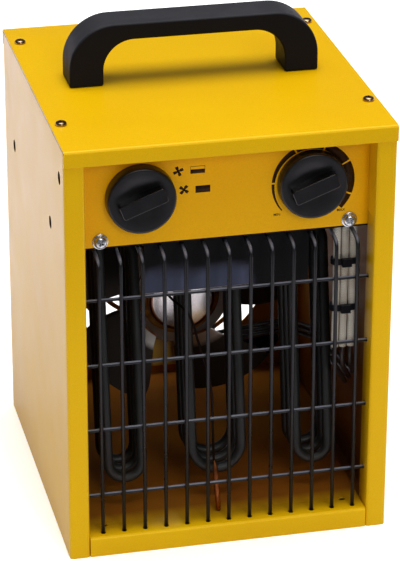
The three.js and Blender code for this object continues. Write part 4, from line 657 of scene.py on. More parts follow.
# Its upper faces get a painted lighter tone.
BLACK_PLASTIC = moulded_plastic("black_plastic", colour(18, 18, 24), colour(25, 25, 31),
                                (0.45, 0.58), shine=0.08, top_light_tone=colour(62, 62, 66))
KNOB_PLASTIC = moulded_plastic("knob_plastic", colour(13, 13, 14), colour(19, 19, 21),
                               (0.3, 0.42), 1500, 0.00002, 0.45)
GRIP_PLASTIC = moulded_plastic("grip_plastic", colour(8, 8, 9), colour(13, 13, 14),
                               (0.14, 0.22), 1500, 0.00001, 0.7)
PALE_PLASTIC = moulded_plastic("pale_plastic", colour(214, 208, 194), colour(228, 224, 212),
                               (0.4, 0.5), 1100, 0.00003)
WIRE_COAT = coated_wire("wire_coat")
ELEMENT_STEEL = heated_steel("element_steel")
ALUMINIUM = fan_metal("aluminium", colour(236, 234, 230), colour(196, 192, 184), 20.5, 24,
                      (0.14, 0.24))
BLADE_ALUMINIUM = fan_metal("blade_aluminium", colour(206, 202, 192), colour(66, 61, 56), 30, 37,
                            (0.3, 0.4))
CAST_ALUMINIUM = bright_metal("cast_aluminium", colour(196, 198, 200), colour(160, 163, 166),
                              (0.35, 0.55), (1, 1, 1), 900)
ZINC = bright_metal("zinc_plate", colour(214, 218, 220), colour(176, 182, 180), (0.2, 0.32))
DARK_SCREW_STEEL = bright_metal("dark_screw_steel", colour(196, 166, 128), colour(136, 108, 78),
                                (0.2, 0.34))
STEEL = bright_metal("turned_steel", colour(190, 193, 196), colour(150, 154, 158),
                     (0.2, 0.4), (0.1, 1, 0.1), 900)
BRASS = bright_metal("brass", colour(222, 184, 96), colour(176, 136, 62), (0.22, 0.4))
DARK_SHEET = shaded_dark_sheet("dark_sheet")
GALVANISED = spangled_zinc("galvanised_sheet")
COPPER = heated_copper("copper")
DARK_TUBE = bright_metal("tarnished_tube", colour(46, 34, 28), colour(28, 22, 20), (0.45, 0.6))
LAMINATION = laminated_steel("laminations")
COIL_TAPE = wound_tape("coil_tape")
SLEEVE = braided_sleeve("glass_sleeve")
LEAD = moulded_plastic("lead_insulation", colour(26, 24, 24), colour(52, 40, 36), (0.3, 0.45),
                       1800, 0.00002)
RUBBER = moulded_plastic("seal_rubber", colour(18, 18, 18), colour(28, 28, 28), (0.6, 0.75),
                         2400, 0.00002)
INK = printed_ink("dark_print", colour(46, 28, 12), colour(74, 46, 18))
CERAMIC = moulded_plastic("terminal_ceramic", colour(224, 220, 210), colour(238, 235, 228),
                          (0.5, 0.65), 1600, 0.00003)

# ---- Shape tools ----


def outline_of(corners, thickness=SHEET):
    """The outline of a sheet folded along a path, with the thickness to the left of the path."""
    points = [Vector(corner) for corner in corners]
    face = []
    back = []

    def left_of(way):
        return Vector((-way.y, way.x))

    def way_to(index):
        return (points[index + 1] - points[index]).normalized()

    def add(point, normal):
        face.append(point)
        back.append(point + normal * thickness)

    add(points[0], left_of(way_to(0)))
    for index in range(1, len(points) - 1):
        before = way_to(index - 1)
        after = way_to(index)
        side = 1 if before.x * after.y - before.y * after.x > 0 else -1
        radius = FOLD if side > 0 else FOLD - thickness
        angle = before.angle(after)
        start = points[index] - before * radius * math.tan(angle / 2)
        centre = start + left_of(before) * side * radius
        for step in range(FOLD_STEPS + 1):
            turn = Matrix.Rotation(side * angle * step / FOLD_STEPS, 2)
            normal = turn @ left_of(before)
            add(centre - normal * side * radius, normal)
    add(points[-1], left_of(way_to(len(points) - 2)))
    return face + back[::-1]


def rounded_outline(width, height, radius, steps=8):
    """A rectangle with rounded corners, centred on the origin."""
    points = []
    for quarter, (x, y) in enumerate(((1, 1), (-1, 1), (-1, -1), (1, -1))):
        centre = Vector((x * (width / 2 - radius), y * (height / 2 - radius)))
        for step in range(steps + 1):
            angle = math.radians(90 * (quarter + step / steps))
            points.append(centre + Vector((math.cos(angle), math.sin(angle))) * radius)
    return points


def on_circle(centre, radius, angle):
    """The point on a circle at an angle in degrees."""
    turn = math.radians(angle)
    return (centre[0] + radius * math.cos(turn), centre[1] + radius * math.sin(turn))


def arc_points(centre, radius, start, end, steps):
    """Points on an arc between two angles in degrees."""
    return [on_circle(centre, radius, start + (end - start) * step / steps)
            for step in range(steps + 1)]


AXES = {
    "X": lambda u, v, w: Vector((w, u, v)),
    "Y": lambda u, v, w: Vector((u, w, v)),
    "Z": lambda u, v, w: Vector((u, v, w)),
}


def prism(outline, axis, low, high):
    """A closed prism. The outline lies in (Y, Z), (X, Z) or (X, Y) for the axis X, Y or Z."""
    mesh = bmesh.new()
    place = AXES[axis]
    rings = [[mesh.verts.new(place(p[0], p[1], w)) for p in outline] for w in (low, high)]
    mesh.faces.new(rings[0][::-1])
    mesh.faces.new(rings[1])
    count = len(outline)
    for i in range(count):
        j = (i + 1) % count
        mesh.faces.new((rings[0][i], rings[0][j], rings[1][j], rings[1][i]))
    bmesh.ops.recalc_face_normals(mesh, faces=mesh.faces)
    return mesh


def block(low, high):
    """A box between two corners."""
    outline = [(low[0], low[1]), (high[0], low[1]), (high[0], high[1]), (low[0], high[1])]
    return prism(outline, "Z", low[2], high[2])


def lathe(profile, axis="Z", steps=48, centre=(0, 0, 0), wave=None):
    """A closed turned shape. The profile is a list of (radius, place along the axis). The wave,
    if there is one, gives the share by which a radius grows at an angle and profile index."""
    mesh = bmesh.new()
    rows = []
    for index, (radius, along) in enumerate(profile):
        if radius < 1e-6:
            rows.append([mesh.verts.new((0, 0, along))])
            continue
        row = []
        for step in range(steps):
            angle = 2 * math.pi * step / steps
            size = radius * (1 + (wave(angle, index) if wave else 0))
            row.append(mesh.verts.new((size * math.cos(angle), size * math.sin(angle), along)))
        rows.append(row)
    closed = profile[0][0] > 1e-6
    pairs = list(zip(rows, rows[1:] + rows[:1])) if closed else list(zip(rows, rows[1:]))
    for first, second in pairs:
        for step in range(steps):
            after = (step + 1) % steps
            if len(first) == 1:
                mesh.faces.new((first[0], second[step], second[after]))
            elif len(second) == 1:
                mesh.faces.new((first[step], first[after], second[0]))
            else:
                mesh.faces.new((first[step], first[after], second[after], second[step]))
    if axis == "Y":
        mesh.transform(Matrix.Rotation(math.radians(-90), 4, "X"))
    if axis == "X":
        mesh.transform(Matrix.Rotation(math.radians(90), 4, "Y"))
    mesh.transform(Matrix.Translation(centre))
    bmesh.ops.recalc_face_normals(mesh, faces=mesh.faces)
    return mesh


def disc(radius, axis, low, high, centre, steps=32):
    """A plain round cutter along an axis, through the given centre."""
    profile = [(0, low), (radius, low), (radius, high), (0, high)]
    return lathe(profile, axis, steps, centre)


def rounded_path(corners, radius, steps=8):
    """A path through the corners with each one rounded."""
    points = [Vector(corner) for corner in corners]
    path = [points[0]]
    for index in range(1, len(points) - 1):
        corner = points[index]
        before = points[index - 1] - corner
        after = points[index + 1] - corner
        setback = min(radius, before.length * 0.45, after.length * 0.45)
        start = corner + before.normalized() * setback
        end = corner + after.normalized() * setback
        for step in range(steps + 1):
            t = step / steps
            path.append(start * (1 - t) ** 2 + corner * 2 * t * (1 - t) + end * t * t)
    path.append(points[-1])
    return path


def sweep(path, radii, sides=14, shared=None):
    """A round bar along a path, with one radius for each point. The ends are closed. In a shared
    mesh the normals are left as they are."""
    mesh = shared or bmesh.new()
    rings = []
    across = None
    way = None
    for index, point in enumerate(path):
        ahead = path[min(index + 1, len(path) - 1)] - point
        past = point - path[max(index - 1, 0)]
        following = (ahead.normalized() + past.normalized()).normalized()
        if across is None:
            across = Vector((1, 0, 0)) if abs(following.x) < 0.9 else Vector((0, 1, 0))
        else:
            across = way.rotation_difference(following) @ across
        way = following
        across = (across - way * across.dot(way)).normalized()
        up = way.cross(across)
        radius = radii[index] if isinstance(radii, list) else radii
        ring = []
        for side in range(sides):
            angle = 2 * math.pi * side / sides
            spoke = across * math.cos(angle) + up * math.sin(angle)
            ring.append(mesh.verts.new(point + spoke * radius))
        rings.append(ring)
    for first, second in zip(rings, rings[1:]):
        for side in range(sides):
            beside = (side + 1) % sides
            mesh.faces.new((first[side], first[beside], second[beside], second[side]))
    mesh.faces.new(rings[0][::-1])
    mesh.faces.new(rings[-1])
    if not shared:
        bmesh.ops.recalc_face_normals(mesh, faces=mesh.faces)
    return mesh


def merged(meshes):
    """One mesh that holds all the given ones. The others are freed."""
    whole = bmesh.new()
    for mesh in meshes:
        data = mesh_data("part", mesh)
        whole.from_mesh(data)
        bpy.data.meshes.remove(data)
    return whole


def cleaned(mesh, distance):
    """Joins the points closer than a distance and the triangles of a flat face."""
    bmesh.ops.remove_doubles(mesh, verts=mesh.verts, dist=distance)
    bmesh.ops.dissolve_limit(mesh, angle_limit=math.radians(1), verts=mesh.verts,
                             edges=mesh.edges)


def shaped(base, joined=(), cutters=()):
    """The base with the joined meshes added and the cutters taken away, as one solid."""
    body = add_object("temporary", mesh_data("temporary", base))
    steps = [("UNION", tool) for tool in joined]
    if cutters:
        steps.append(("DIFFERENCE", merged(cutters)))
    tools = []
    for operation, mesh in steps:
        tool = add_object("temporary", mesh_data("temporary", mesh))
        tools.append(tool)
        modifier = body.modifiers.new("shape", "BOOLEAN")
        modifier.operation = operation
        modifier.solver = "EXACT"
        modifier.object = tool
    bpy.context.view_layer.update()
    evaluated = body.evaluated_get(bpy.context.evaluated_depsgraph_get())
    result = bmesh.new()
    result.from_mesh(evaluated.to_mesh())
    evaluated.to_mesh_clear()
    for piece in [body, *tools]:
        data = piece.data
        bpy.data.objects.remove(piece)
        bpy.data.meshes.remove(data)
    cleaned(result, 1e-4)
    return result


def bevelled(piece, width=EDGE, segments=2, angle=38):
    """Rounds the sharp edges of a piece by a width in millimetres."""
    modifier = piece.modifiers.new("edges", "BEVEL")
    modifier.width = width * MILLIMETRE
    modifier.segments = segments
    modifier.limit_method = "ANGLE"
    modifier.angle_limit = math.radians(angle)
    modifier.harden_normals = True
    modifier.miter_outer = "MITER_ARC"


def make_piece(name, mesh, material, body="case", stands_for=(), edge=EDGE, segments=2,
               angle=38):
    """A named piece from a mesh in the case's frame. It rides on a body."""
    mesh.transform(TO_MODEL)
    for face in mesh.faces:
        face.smooth = True
    piece = add_object(name, mesh_data(name, mesh))
    piece.data.materials.append(material)
    if edge:
        bevelled(piece, edge, segments, angle)
    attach(piece, body)
    if stands_for:
        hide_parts(*stands_for)


def dressed(name, material, body="case", edge=EDGE, segments=2, angle=38):
    """A finer copy of a node whose form is right: welded, with flat faces and round edges."""
    mesh = bmesh.new()
    mesh.from_mesh(NODES[name].data)
    cleaned(mesh, 1e-6)
    mesh.transform(TO_MODEL.inverted())
    make_piece(name + "_dressed", mesh, material, body, [name], edge, segments, angle)


# ---- Sheet metal ----


def wire_back(height):
    """The y of the upright wires at a height."""
    rise = (height - FLOOR_HEIGHT) / (WIRE_TOP - FLOOR_HEIGHT)
    return behind(WIRE_BOTTOM_BACK + rise * (WIRE_TOP_BACK - WIRE_BOTTOM_BACK))


def cross_wire_back(height):
    """The y of a cross wire, welded behind the upright ones."""
    return wire_back(height) + WIRE_RADIUS + CROSS_WIRE_RADIUS - WIRE_WELD


def wire_places():
    """The x of each upright wire."""
    middle = (WIRE_COUNT - 1) / 2
    return [WIRE_CENTRE + (index - middle) * WIRE_PITCH for index in range(WIRE_COUNT)]


def side_panel(hand):
    """A side panel with its flanges and open holes. Hand is 1 for the right and -1 for the left."""
    plan = outline_of([
        (POST_INSIDE, FRONT + RETURN_DEPTH), (POST_INSIDE, FRONT), (HALF_WIDTH, FRONT),
        (HALF_WIDTH, REAR), (POST_INSIDE, REAR)])
    wall = prism(plan, "Z", 0, SIDE_TOP)
    inside = HALF_WIDTH - SHEET / 2
    front = FRONT + SHEET + GAP
    rear = REAR_INSIDE - GAP
    rest = block((HALF_WIDTH - REST_FLANGE - SHEET, front, 0), (inside, rear, SHEET))
    top = block((WALL_INSIDE - TOP_FLANGE, front, SIDE_TOP - SHEET), (inside, rear, SIDE_TOP))
    holes = [disc(WALL_HOLE_RADIUS, "X", WALL_INSIDE - 1, HALF_WIDTH + 1, (0, behind(back), z), 48)
             for back, z in WALL_HOLES]
    wire_hole = CROSS_WIRE_RADIUS + WIRE_HOLE_ROOM
    holes += [disc(wire_hole, "X", POST_INSIDE - 1, POST_INSIDE + 2, (0, cross_wire_back(z), z))
              for z in CROSS_WIRE_HEIGHTS]
    holes += [disc(SCREW_HOLE, "Z", SIDE_TOP - 2, SIDE_TOP + 1, (SCREW_CORNER, behind(back), 0))
              for back in LID_SCREW_BACKS]
    holes += [disc(SCREW_HOLE, "Y", REAR_FACE - 1, REAR + 1, (SCREW_CORNER, 0, z))
              for z in REAR_SCREW_HEIGHTS]
    relief = FOLD - SHEET + GAP
    notches = [block((0, y - relief, SIDE_TOP - relief), (CASE_WIDTH, y + relief, CASE_HEIGHT))
               for y in (FRONT, REAR)]
    panel = shaped(wall, [rest, top], holes + notches)
    if hand < 0:
        panel.transform(Matrix.Scale(-1, 4, (1, 0, 0)))
        bmesh.ops.reverse_faces(panel, faces=panel.faces)
    side = "right" if hand > 0 else "left"
    make_piece(f"{side}_panel_sheet", panel, YELLOW, stands_for=[f"{side}_panel"])


def base_plate():
    half = POST_INSIDE - GAP
    section = outline_of([(REAR, 0), (REAR, FLOOR_HEIGHT), (FRONT, FLOOR_HEIGHT), (FRONT, 0)])
    floor = prism(section, "X", -half, half)
    inner = half - SHEET
    sides = [block((low, FRONT + SHEET / 2, SHEET), (high, REAR - SHEET / 2, FLOOR_HEIGHT - 0.5))
             for low, high in ((-half, -inner), (inner, half))]
    span = (FLOOR_HEIGHT - 2, FLOOR_HEIGHT + 1)
    holes = [disc(WIRE_RADIUS + FLOOR_WIRE_ROOM, "Z", *span, (x, wire_back(FLOOR_HEIGHT), 0), 20)
             for x in wire_places()]
    holes += [disc(FLOOR_HOLE_RADIUS, "Z", *span, (x, behind(FLOOR_HOLE_BACK), 0))
              for x in (-FLOOR_HOLES, FLOOR_HOLES)]
    plate = shaped(floor, sides, holes)
    make_piece("base_plate_sheet", plate, YELLOW, stands_for=["base_plate"])


def top_cover():
    bottom = CASE_HEIGHT - LIP_HEIGHT
    rear = REAR + GAP + SHEET
    section = outline_of([
        (rear, bottom), (rear, CASE_HEIGHT), (LID_FRONT, CASE_HEIGHT), (LID_FRONT, bottom)])
    plate = prism(section, "X", -HALF_WIDTH, HALF_WIDTH)
    places = [(x, behind(back)) for x in (-SCREW_CORNER, SCREW_CORNER) for back in LID_SCREW_BACKS]
    places += [(x, behind(HANDLE_BACK)) for x in HANDLE_FEET]
    holes = [disc(SCREW_HOLE, "Z", SIDE_TOP - 1, CASE_HEIGHT + 1, (x, y, 0)) for x, y in places]
    make_piece("top_cover_sheet", shaped(plate, [], holes), YELLOW, stands_for=["top_cover"])


def control_panel():
    wing = PANEL_FACE + PANEL_WING
    plan = outline_of([
        (-INNER_HALF, wing), (-INNER_HALF, PANEL_FACE), (INNER_HALF, PANEL_FACE),
        (INNER_HALF, wing)])
    plate = prism(plan, "Z", PANEL_BOTTOM, PANEL_TOP)
    notch = block((-HALF_WIDTH, PANEL_BACK, PANEL_BOTTOM - 1),
                  (HALF_WIDTH, wing + 1, TRAY_HEIGHT + GAP))
    span = (PANEL_FACE - 1, PANEL_BACK + 1)
    holes = [disc(BUSH_HOLE, "Y", *span, (x, 0, KNOB_HEIGHT)) for x in (-KNOB_X, KNOB_X)]
    holes += [disc(SCREW_HOLE, "Y", *span, (x, 0, PANEL_SCREW_HEIGHT))
              for x in (-PANEL_SCREW_X, PANEL_SCREW_X)]
    make_piece("control_panel_sheet", shaped(plate, [], [notch, *holes]), PANEL_YELLOW,
               stands_for=["control_panel"])


def inlet_slot(inner, spoke):
    """The outline of one arc-shaped slot of the air inlet in (X, Z)."""
    sector = 2 * math.pi / INLET_SPOKES
    outline = []
    for radius, way in ((inner + INLET_SLOT, 1), (inner, -1)):
        trim = math.asin(INLET_SPOKE_WIDTH / 2 / radius)
        angles = [spoke * sector + trim + (sector - 2 * trim) * step / ARC_STEPS
                  for step in range(ARC_STEPS + 1)]
        outline += [(radius * math.cos(a), FAN_HEIGHT + radius * math.sin(a))
                    for a in angles[::way]]
    return outline


def rear_panel():
    half = INNER_HALF - (FOLD - SHEET)
    plate = block((-half, REAR_INSIDE, FLOOR_HEIGHT + 0.03), (half, REAR_FACE, PANEL_TOP))
    span = (REAR_INSIDE - 1, REAR + 1)
    cutters = []
    for ring in range(INLET_RINGS):
        inner = INLET_FIRST + ring * (INLET_SLOT + INLET_RIB)
        for spoke in range(INLET_SPOKES):
            cutters.append(prism(inlet_slot(inner, spoke), "Y", *span))
    places = [(x, z) for z in REAR_SCREW_HEIGHTS for x in (-SCREW_CORNER, SCREW_CORNER)]
    places += [(x, FAN_HEIGHT + MOTOR_SCREW_LIFT) for x in (-MOTOR_SCREW_X, MOTOR_SCREW_X)]
    cutters += [disc(SCREW_HOLE, "Y", *span, (x, 0, z)) for x, z in places]
    cutters.append(disc(GLAND_RADIUS + GAP, "Y", *span, (GLAND_X, 0, GLAND_HEIGHT)))
    make_piece("rear_panel_sheet", shaped(plate, [], cutters), YELLOW,
               stands_for=["rear_panel"])


def heat_shield():
    face = behind(SHIELD_BACK)
    top = TRAY_HEIGHT - SHEET
    section = outline_of([
        (face + POST_WIDTH, top), (face, top), (face, SHIELD_BOTTOM),
        (face + SHIELD_HEM, SHIELD_BOTTOM), (face + SHIELD_HEM, SHIELD_BOTTOM + 2 * SHIELD_HEM)])
    make_piece("heat_shield_sheet", prism(section, "X", *SHIELD_ENDS), DARK_SHEET,
               stands_for=["heat_shield"])


side_panel(1)
side_panel(-1)
base_plate()
top_cover()
control_panel()
rear_panel()
heat_shield()
dressed("partition_tray", GALVANISED)

# ---- Handle ----


def handle():
    outer = HANDLE_SPAN / 2
    inner = outer - HANDLE_FOOT
    top = CASE_HEIGHT + HANDLE_RISE
    under = top - HANDLE_BAR
    foot = CASE_HEIGHT
    small = HANDLE_INNER_RADIUS
    large = HANDLE_OUTER_RADIUS
    bow = [(-outer, foot), (-inner, foot)]
    bow += arc_points((-inner + small, under - small), small, 180, 90, ARC_STEPS)
    bow += arc_points((inner - small, under - small), small, 90, 0, ARC_STEPS)
    bow += [(inner, foot), (outer, foot)]
    bow += arc_points((outer - large, top - large), large, 0, 90, 18)
    bow += arc_points((-outer + large, top - large), large, 90, 180, 18)
    middle = behind(HANDLE_BACK)
    body = prism(bow, "Y", middle - HANDLE_DEPTH / 2, middle + HANDLE_DEPTH / 2)
    make_piece("handle_bow", body, BLACK_PLASTIC, stands_for=["handle"], edge=1.5, segments=4,
               angle=50)


handle()

# ---- Grille ----


def grille():
    whole = bmesh.new()
    bottom = FLOOR_HEIGHT - WIRE_BELOW_FLOOR
    tail = behind(WIRE_TOP_BACK + WIRE_TAIL)
    for x in wire_places():
        path = rounded_path([
            (x, wire_back(bottom), bottom), (x, wire_back(WIRE_TOP), WIRE_TOP),
            (x, tail, WIRE_TOP + 2)], WIRE_BEND)
        sweep(path, WIRE_RADIUS, 16, whole)
    reach = POST_INSIDE + SHEET + CROSS_WIRE_REACH
    for z in CROSS_WIRE_HEIGHTS:
        y = cross_wire_back(z)
        ends = [(-reach, CROSS_WIRE_RADIUS * 0.6), (-reach + 0.5, CROSS_WIRE_RADIUS),
                (reach - 0.5, CROSS_WIRE_RADIUS), (reach, CROSS_WIRE_RADIUS * 0.6)]
        sweep([Vector((x, y, z)) for x, _ in ends], [size for _, size in ends], 16, whole)
        # Where two wires are welded, the metal is squeezed out a little.
        for x in wire_places():
            squeeze = Matrix.Translation((x, y - CROSS_WIRE_RADIUS + 0.1, z))
            squeeze = squeeze @ Matrix.Diagonal((*WELD_SIZE, 1))
            bmesh.ops.create_uvsphere(whole, u_segments=12, v_segments=8, radius=1,
                                      matrix=squeeze)
    bmesh.ops.recalc_face_normals(whole, faces=whole.faces)
    make_piece("grille_wires", whole, WIRE_COAT, stands_for=["front_grille"], edge=0)


grille()

# ---- Heating elements ----


def coil_back(height, turn):
    """The y of a turn of an element's tube at a height."""
    rise = (height - COIL_BOTTOM) / (COIL_TOP - COIL_BOTTOM)
    return behind(COIL_FRONT + COIL_LEAN * rise + turn * COIL_PITCH)


def heating_element(side, centre, width):
    reach = width / 2 - TUBE_RADIUS
    low = COIL_BOTTOM + TUBE_RADIUS + reach
    high = COIL_TOP - TUBE_RADIUS - reach
    shoulder = TRAY_HEIGHT + TERMINAL_HEIGHT
    steps = TURN_STEPS
    first = (centre - reach, coil_back(COIL_TOP, 0))
    last = (centre + reach, coil_back(COIL_TOP, COIL_TURNS - 1))
    legs = [[Vector((x, y, z)) for z in (shoulder, shoulder - NECK, COIL_TOP + ABOVE_COIL)]
            for x, y in (first, last)]
    points = legs[0]
    for turn in range(COIL_TURNS):
        for step in range(steps + 1):
            angle = math.pi + math.pi * step / steps
            z = low + reach * math.sin(angle)
            points.append(Vector((centre + reach * math.cos(angle), coil_back(z, turn), z)))
        if turn < COIL_TURNS - 1:
            for step in range(steps + 1):
                angle = math.pi * step / steps
                z = high + reach * math.sin(angle)
                y = coil_back(z, turn + step / steps)
                points.append(Vector((centre + reach * math.cos(angle), y, z)))
    points += legs[1][::-1]
    tube = sweep(points, TUBE_RADIUS, 20)
    make_piece(f"element_{side}_tube", tube, ELEMENT_STEEL, stands_for=[f"element_{side}"],
               edge=0)
    for index, (x, y) in enumerate((first, last)):
        pin_top = shoulder + TERMINAL_PIN
        bead_top = shoulder + BEAD_HEIGHT
        bead = lathe([(0, shoulder), (TUBE_RADIUS - 0.3, shoulder),
                      (TUBE_RADIUS - 0.5, bead_top - 0.6), (TERMINAL_PIN_RADIUS, bead_top),
                      (0, bead_top)], "Z", 24, (x, y, 0))
        make_piece(f"element_{side}_bead_{index + 1}", bead, CERAMIC, edge=0)
        pin = lathe([(0, shoulder + 3), (TERMINAL_PIN_RADIUS, shoulder + 3),
                     (TERMINAL_PIN_RADIUS, pin_top - 0.6), (TERMINAL_PIN_RADIUS - 0.5, pin_top),
                     (0, pin_top)], "Z", 20, (x, y, 0))
        make_piece(f"element_{side}_pin_{index + 1}", pin, STEEL, edge=0)


for side_name, (element_centre, element_width) in ELEMENTS.items():
    heating_element(side_name, element_centre, element_width)
for number in range(1, 7):
    dressed(f"element_nut_{number}", BRASS)

# ---- Sensor, leads and ties ----


def sensor():
    y = behind(BULB_BACK)
    bottom = FLOOR_HEIGHT + GAP
    neck = bottom + BULB_HEIGHT
    neck_x = BULB_X - BULB_LEAN
    shield_edge = SHIELD_BOTTOM - CAPILLARY_BEND
    through = behind(CAPILLARY_BACK)
    above = (TRAY_HEIGHT + KNOB_HEIGHT) / 2
    rear = PANEL_BACK + THERMOSTAT_REACH + GAP + CAPILLARY_RADIUS
    thin = rounded_path([
        (neck_x - CAPILLARY_RADIUS, y, neck + BULB_RADIUS),
        (neck_x - BULB_LEAN, y, (neck + shield_edge) / 2),
        ((neck_x + CAPILLARY_X) / 2, (y + through) / 2, shield_edge - CAPILLARY_BEND),
        (CAPILLARY_X, through, shield_edge), (CAPILLARY_X, through, above),
        ((CAPILLARY_X + 2 * KNOB_X) / 3, rear + CAPILLARY_BEND, above),
        (KNOB_X, rear, KNOB_HEIGHT)], CAPILLARY_BEND, 8)
    lean = Vector((neck_x - BULB_X, 0, neck - BULB_RADIUS - bottom))
    foot = Vector((BULB_X, y, bottom))
    thick = [foot + lean * share for share in (0.005, 0.04, 0.3, 0.7, 0.93, 1)]
    sizes = [BULB_RADIUS * share for share in (0.7, 1, 1, 1, 1, 0.8)]
    bulb = sweep(thick + [thin[0]], sizes + [CAPILLARY_RADIUS * 1.1], 24)
    make_piece("sensor_bulb", bulb, COPPER, stands_for=["sensor_capillary"], edge=0)
    tube = sweep(thin, CAPILLARY_RADIUS, 14)
    make_piece("sensor_tube", tube, DARK_TUBE, edge=0)


def motor_lead(index):
    x = SLEEVE_X + (index - 2) * SLEEVE_PITCH
    y = behind(SLEEVE_BACK)
    above = TRAY_HEIGHT + SLEEVE_RISE
    face = behind(TERMINAL_BLOCK_BACK) - GAP
    path = rounded_path([(x, face, above), (x, y, above), (x, y, SLEEVE_BOTTOM + 0.6)],
                        SLEEVE_BEND, 10)
    # Small swellings and twists of the braid along the straight run.
    straight = []
    for step in range(1, BRAID_STEPS):
        share = step / BRAID_STEPS
        wander = BRAID_WANDER * math.sin(9.7 * share + 2.1 * index) * math.sin(math.pi * share)
        z = TRAY_HEIGHT - SHEET - (TRAY_HEIGHT - SHEET - SLEEVE_BOTTOM) * share
        straight.append(Vector((x + wander, y + 0.6 * wander, z)))
    path = path[:-1] + straight + [path[-1]]
    radii = [SLEEVE_RADIUS * (1 - BRAID_SWELL + BRAID_SWELL * math.sin(2.3 * number + index))
             for number in range(len(path) - 1)]
    radii.append(SLEEVE_RADIUS)
    sleeve = sweep(path, radii, 18)
    shift = (index - 2) * 2 * (LEAD_RADIUS + GAP)
    wall = HALF_WIDTH - LEAD_FROM_WALL
    coil_side = COIL_WIDTH / 2 + 2 * GAP
    coil_z = FAN_HEIGHT - STATOR_BELOW + YOKE_HEIGHT / 2
    route = rounded_path([
        (x, y, SLEEVE_BOTTOM + 2), (x, y, SLEEVE_BOTTOM - LEAD_BEND),
        (wall + (x - SLEEVE_X) * 0.4, y + 2 * LEAD_BEND, SLEEVE_BOTTOM - 3 * LEAD_BEND + shift),
        (wall, behind(FAN_BACK), coil_z + LEAD_BEND + shift),
        (wall - LEAD_BEND, behind(STATOR_FRONT), coil_z + 3 * LEAD_RADIUS + shift),
        (coil_side, behind(STATOR_FRONT - COIL_OVERHANG / 2), coil_z + shift)], LEAD_BEND, 8)
    lead = sweep(route, LEAD_RADIUS, 14)
    make_piece(f"lead_sleeve_{index}", sleeve, SLEEVE, stands_for=[f"motor_lead_{index}"], edge=0)
    make_piece(f"lead_wire_{index}", lead, LEAD, edge=0)


def cable_tie(level, height):
    width = 2 * SLEEVE_PITCH + 2 * SLEEVE_RADIUS + 2 * GAP
    depth = 2 * SLEEVE_RADIUS + 2 * GAP
    middle = Vector((SLEEVE_X, behind(SLEEVE_BACK)))
    around = [p + middle for p in rounded_outline(
        width + 2 * TIE_THICKNESS, depth + 2 * TIE_THICKNESS, depth / 2 + TIE_THICKNESS - 0.01)]
    inside = [p + middle for p in rounded_outline(width, depth, depth / 2 - 0.01)]
    low = height - TIE_WIDTH / 2
    high = height + TIE_WIDTH / 2
    hoop = shaped(prism(around, "Z", low, high), [], [prism(inside, "Z", low - 1, high + 1)])
    face = middle.y - depth / 2 - TIE_THICKNESS
    half = TIE_LOCK / 2
    lock = block((SLEEVE_X - 3, face - half, height - half),
                 (SLEEVE_X + 3, face + 0.4, height + half))
    slot = block((SLEEVE_X - 4, face - 1.7, height - half / 2),
                 (SLEEVE_X + 4, face - 0.7, height + half / 2))
    whole = merged([hoop, shaped(lock, [], [slot])])
    make_piece(f"cable_tie_{level}_band", whole, BLACK_PLASTIC,
               stands_for=[f"cable_tie_{level}"], edge=0.2)


sensor()
for lead_number in (1, 2, 3):
    motor_lead(lead_number)
for tie_level, tie_height in TIE_HEIGHTS.items():
    cable_tie(tie_level, tie_height)

# ---- Knobs and what they turn ----


def knob(name, x):
    rim = KNOB_RIM
    depth = (rim - KNOB_DISH) * KNOB_BOWL
    profile = [
        (0, 0), (KNOB_RADIUS - 0.4, 0), (KNOB_RADIUS, 0.4), (KNOB_RADIUS - 0.3, rim - 1.3),
        (KNOB_RADIUS - 0.45, rim - 0.75), (KNOB_RADIUS - 0.8, rim - 0.3),
        (KNOB_RADIUS - 1.3, rim - 0.06), (KNOB_RADIUS - 1.8, rim)]
    bowl = KNOB_RADIUS - 2.4
    for share in (1, 0.94, 0.88, 0.8, 0.7, 0.6, 0.5, 0.4, 0.3, 0.2, 0.1):
        sag = 0.5 + 0.5 * math.cos(math.pi * share)
        profile.append((bowl * share, rim - 0.04 - (depth - 0.04) * sag))
    profile.append((0, rim - depth))
    skirt = lathe(profile, "Z", 128)
    outline = rounded_outline(GRIP_LENGTH, GRIP_WIDTH, GRIP_CORNER)
    grip = prism(outline, "Z", KNOB_DISH - 0.5, GRIP_RISE)
    # The grip narrows a little towards its top.
    for vertex in grip.verts:
        if vertex.co.z > KNOB_DISH:
            vertex.co.x *= GRIP_NARROWING[0]
            vertex.co.y *= GRIP_NARROWING[1]
    turn = Matrix.Rotation(math.radians(90), 4, "X") @ Matrix.Rotation(
        math.radians(GRIP_ANGLE), 4, "Z")
    place = Matrix.Translation((x, KNOB_BACK, KNOB_HEIGHT)) @ turn
    for mesh in (skirt, grip):
        mesh.transform(place)
    body = name.split("_")[0]
    make_piece(name + "_skirt", skirt, KNOB_PLASTIC, body, [name], edge=0)
    make_piece(name + "_grip", grip, GRIP_PLASTIC, body, edge=0.5, segments=4, angle=50)


knob("selector_knob", -KNOB_X)
knob("thermostat_knob", KNOB_X)
dressed("selector_spindle", STEEL, "selector", 0.3)
dressed("thermostat_spindle", STEEL, "thermostat", 0.3)
dressed("rotary_switch", PALE_PLASTIC)
dressed("thermostat_body", GALVANISED)
dressed("thermal_cutout", STEEL)
dressed("terminal_block", PALE_PLASTIC, edge=0.5)

# ---- Screws ----

# Head radius, length of the shank and height of the head
SHEET_SCREW = (3.5, 6, 2.4)
HANDLE_SCREW = (4.5, 15, 2.4)
PANEL_SCREW = (3.9, 7, 2.6)
PANEL_WASHER = 4.8
# Shares of the head's radius, and the depth of the cross
RECESS_REACH = 0.6
RECESS_WIDTH = 0.26
RECESS_DEPTH = 1.3


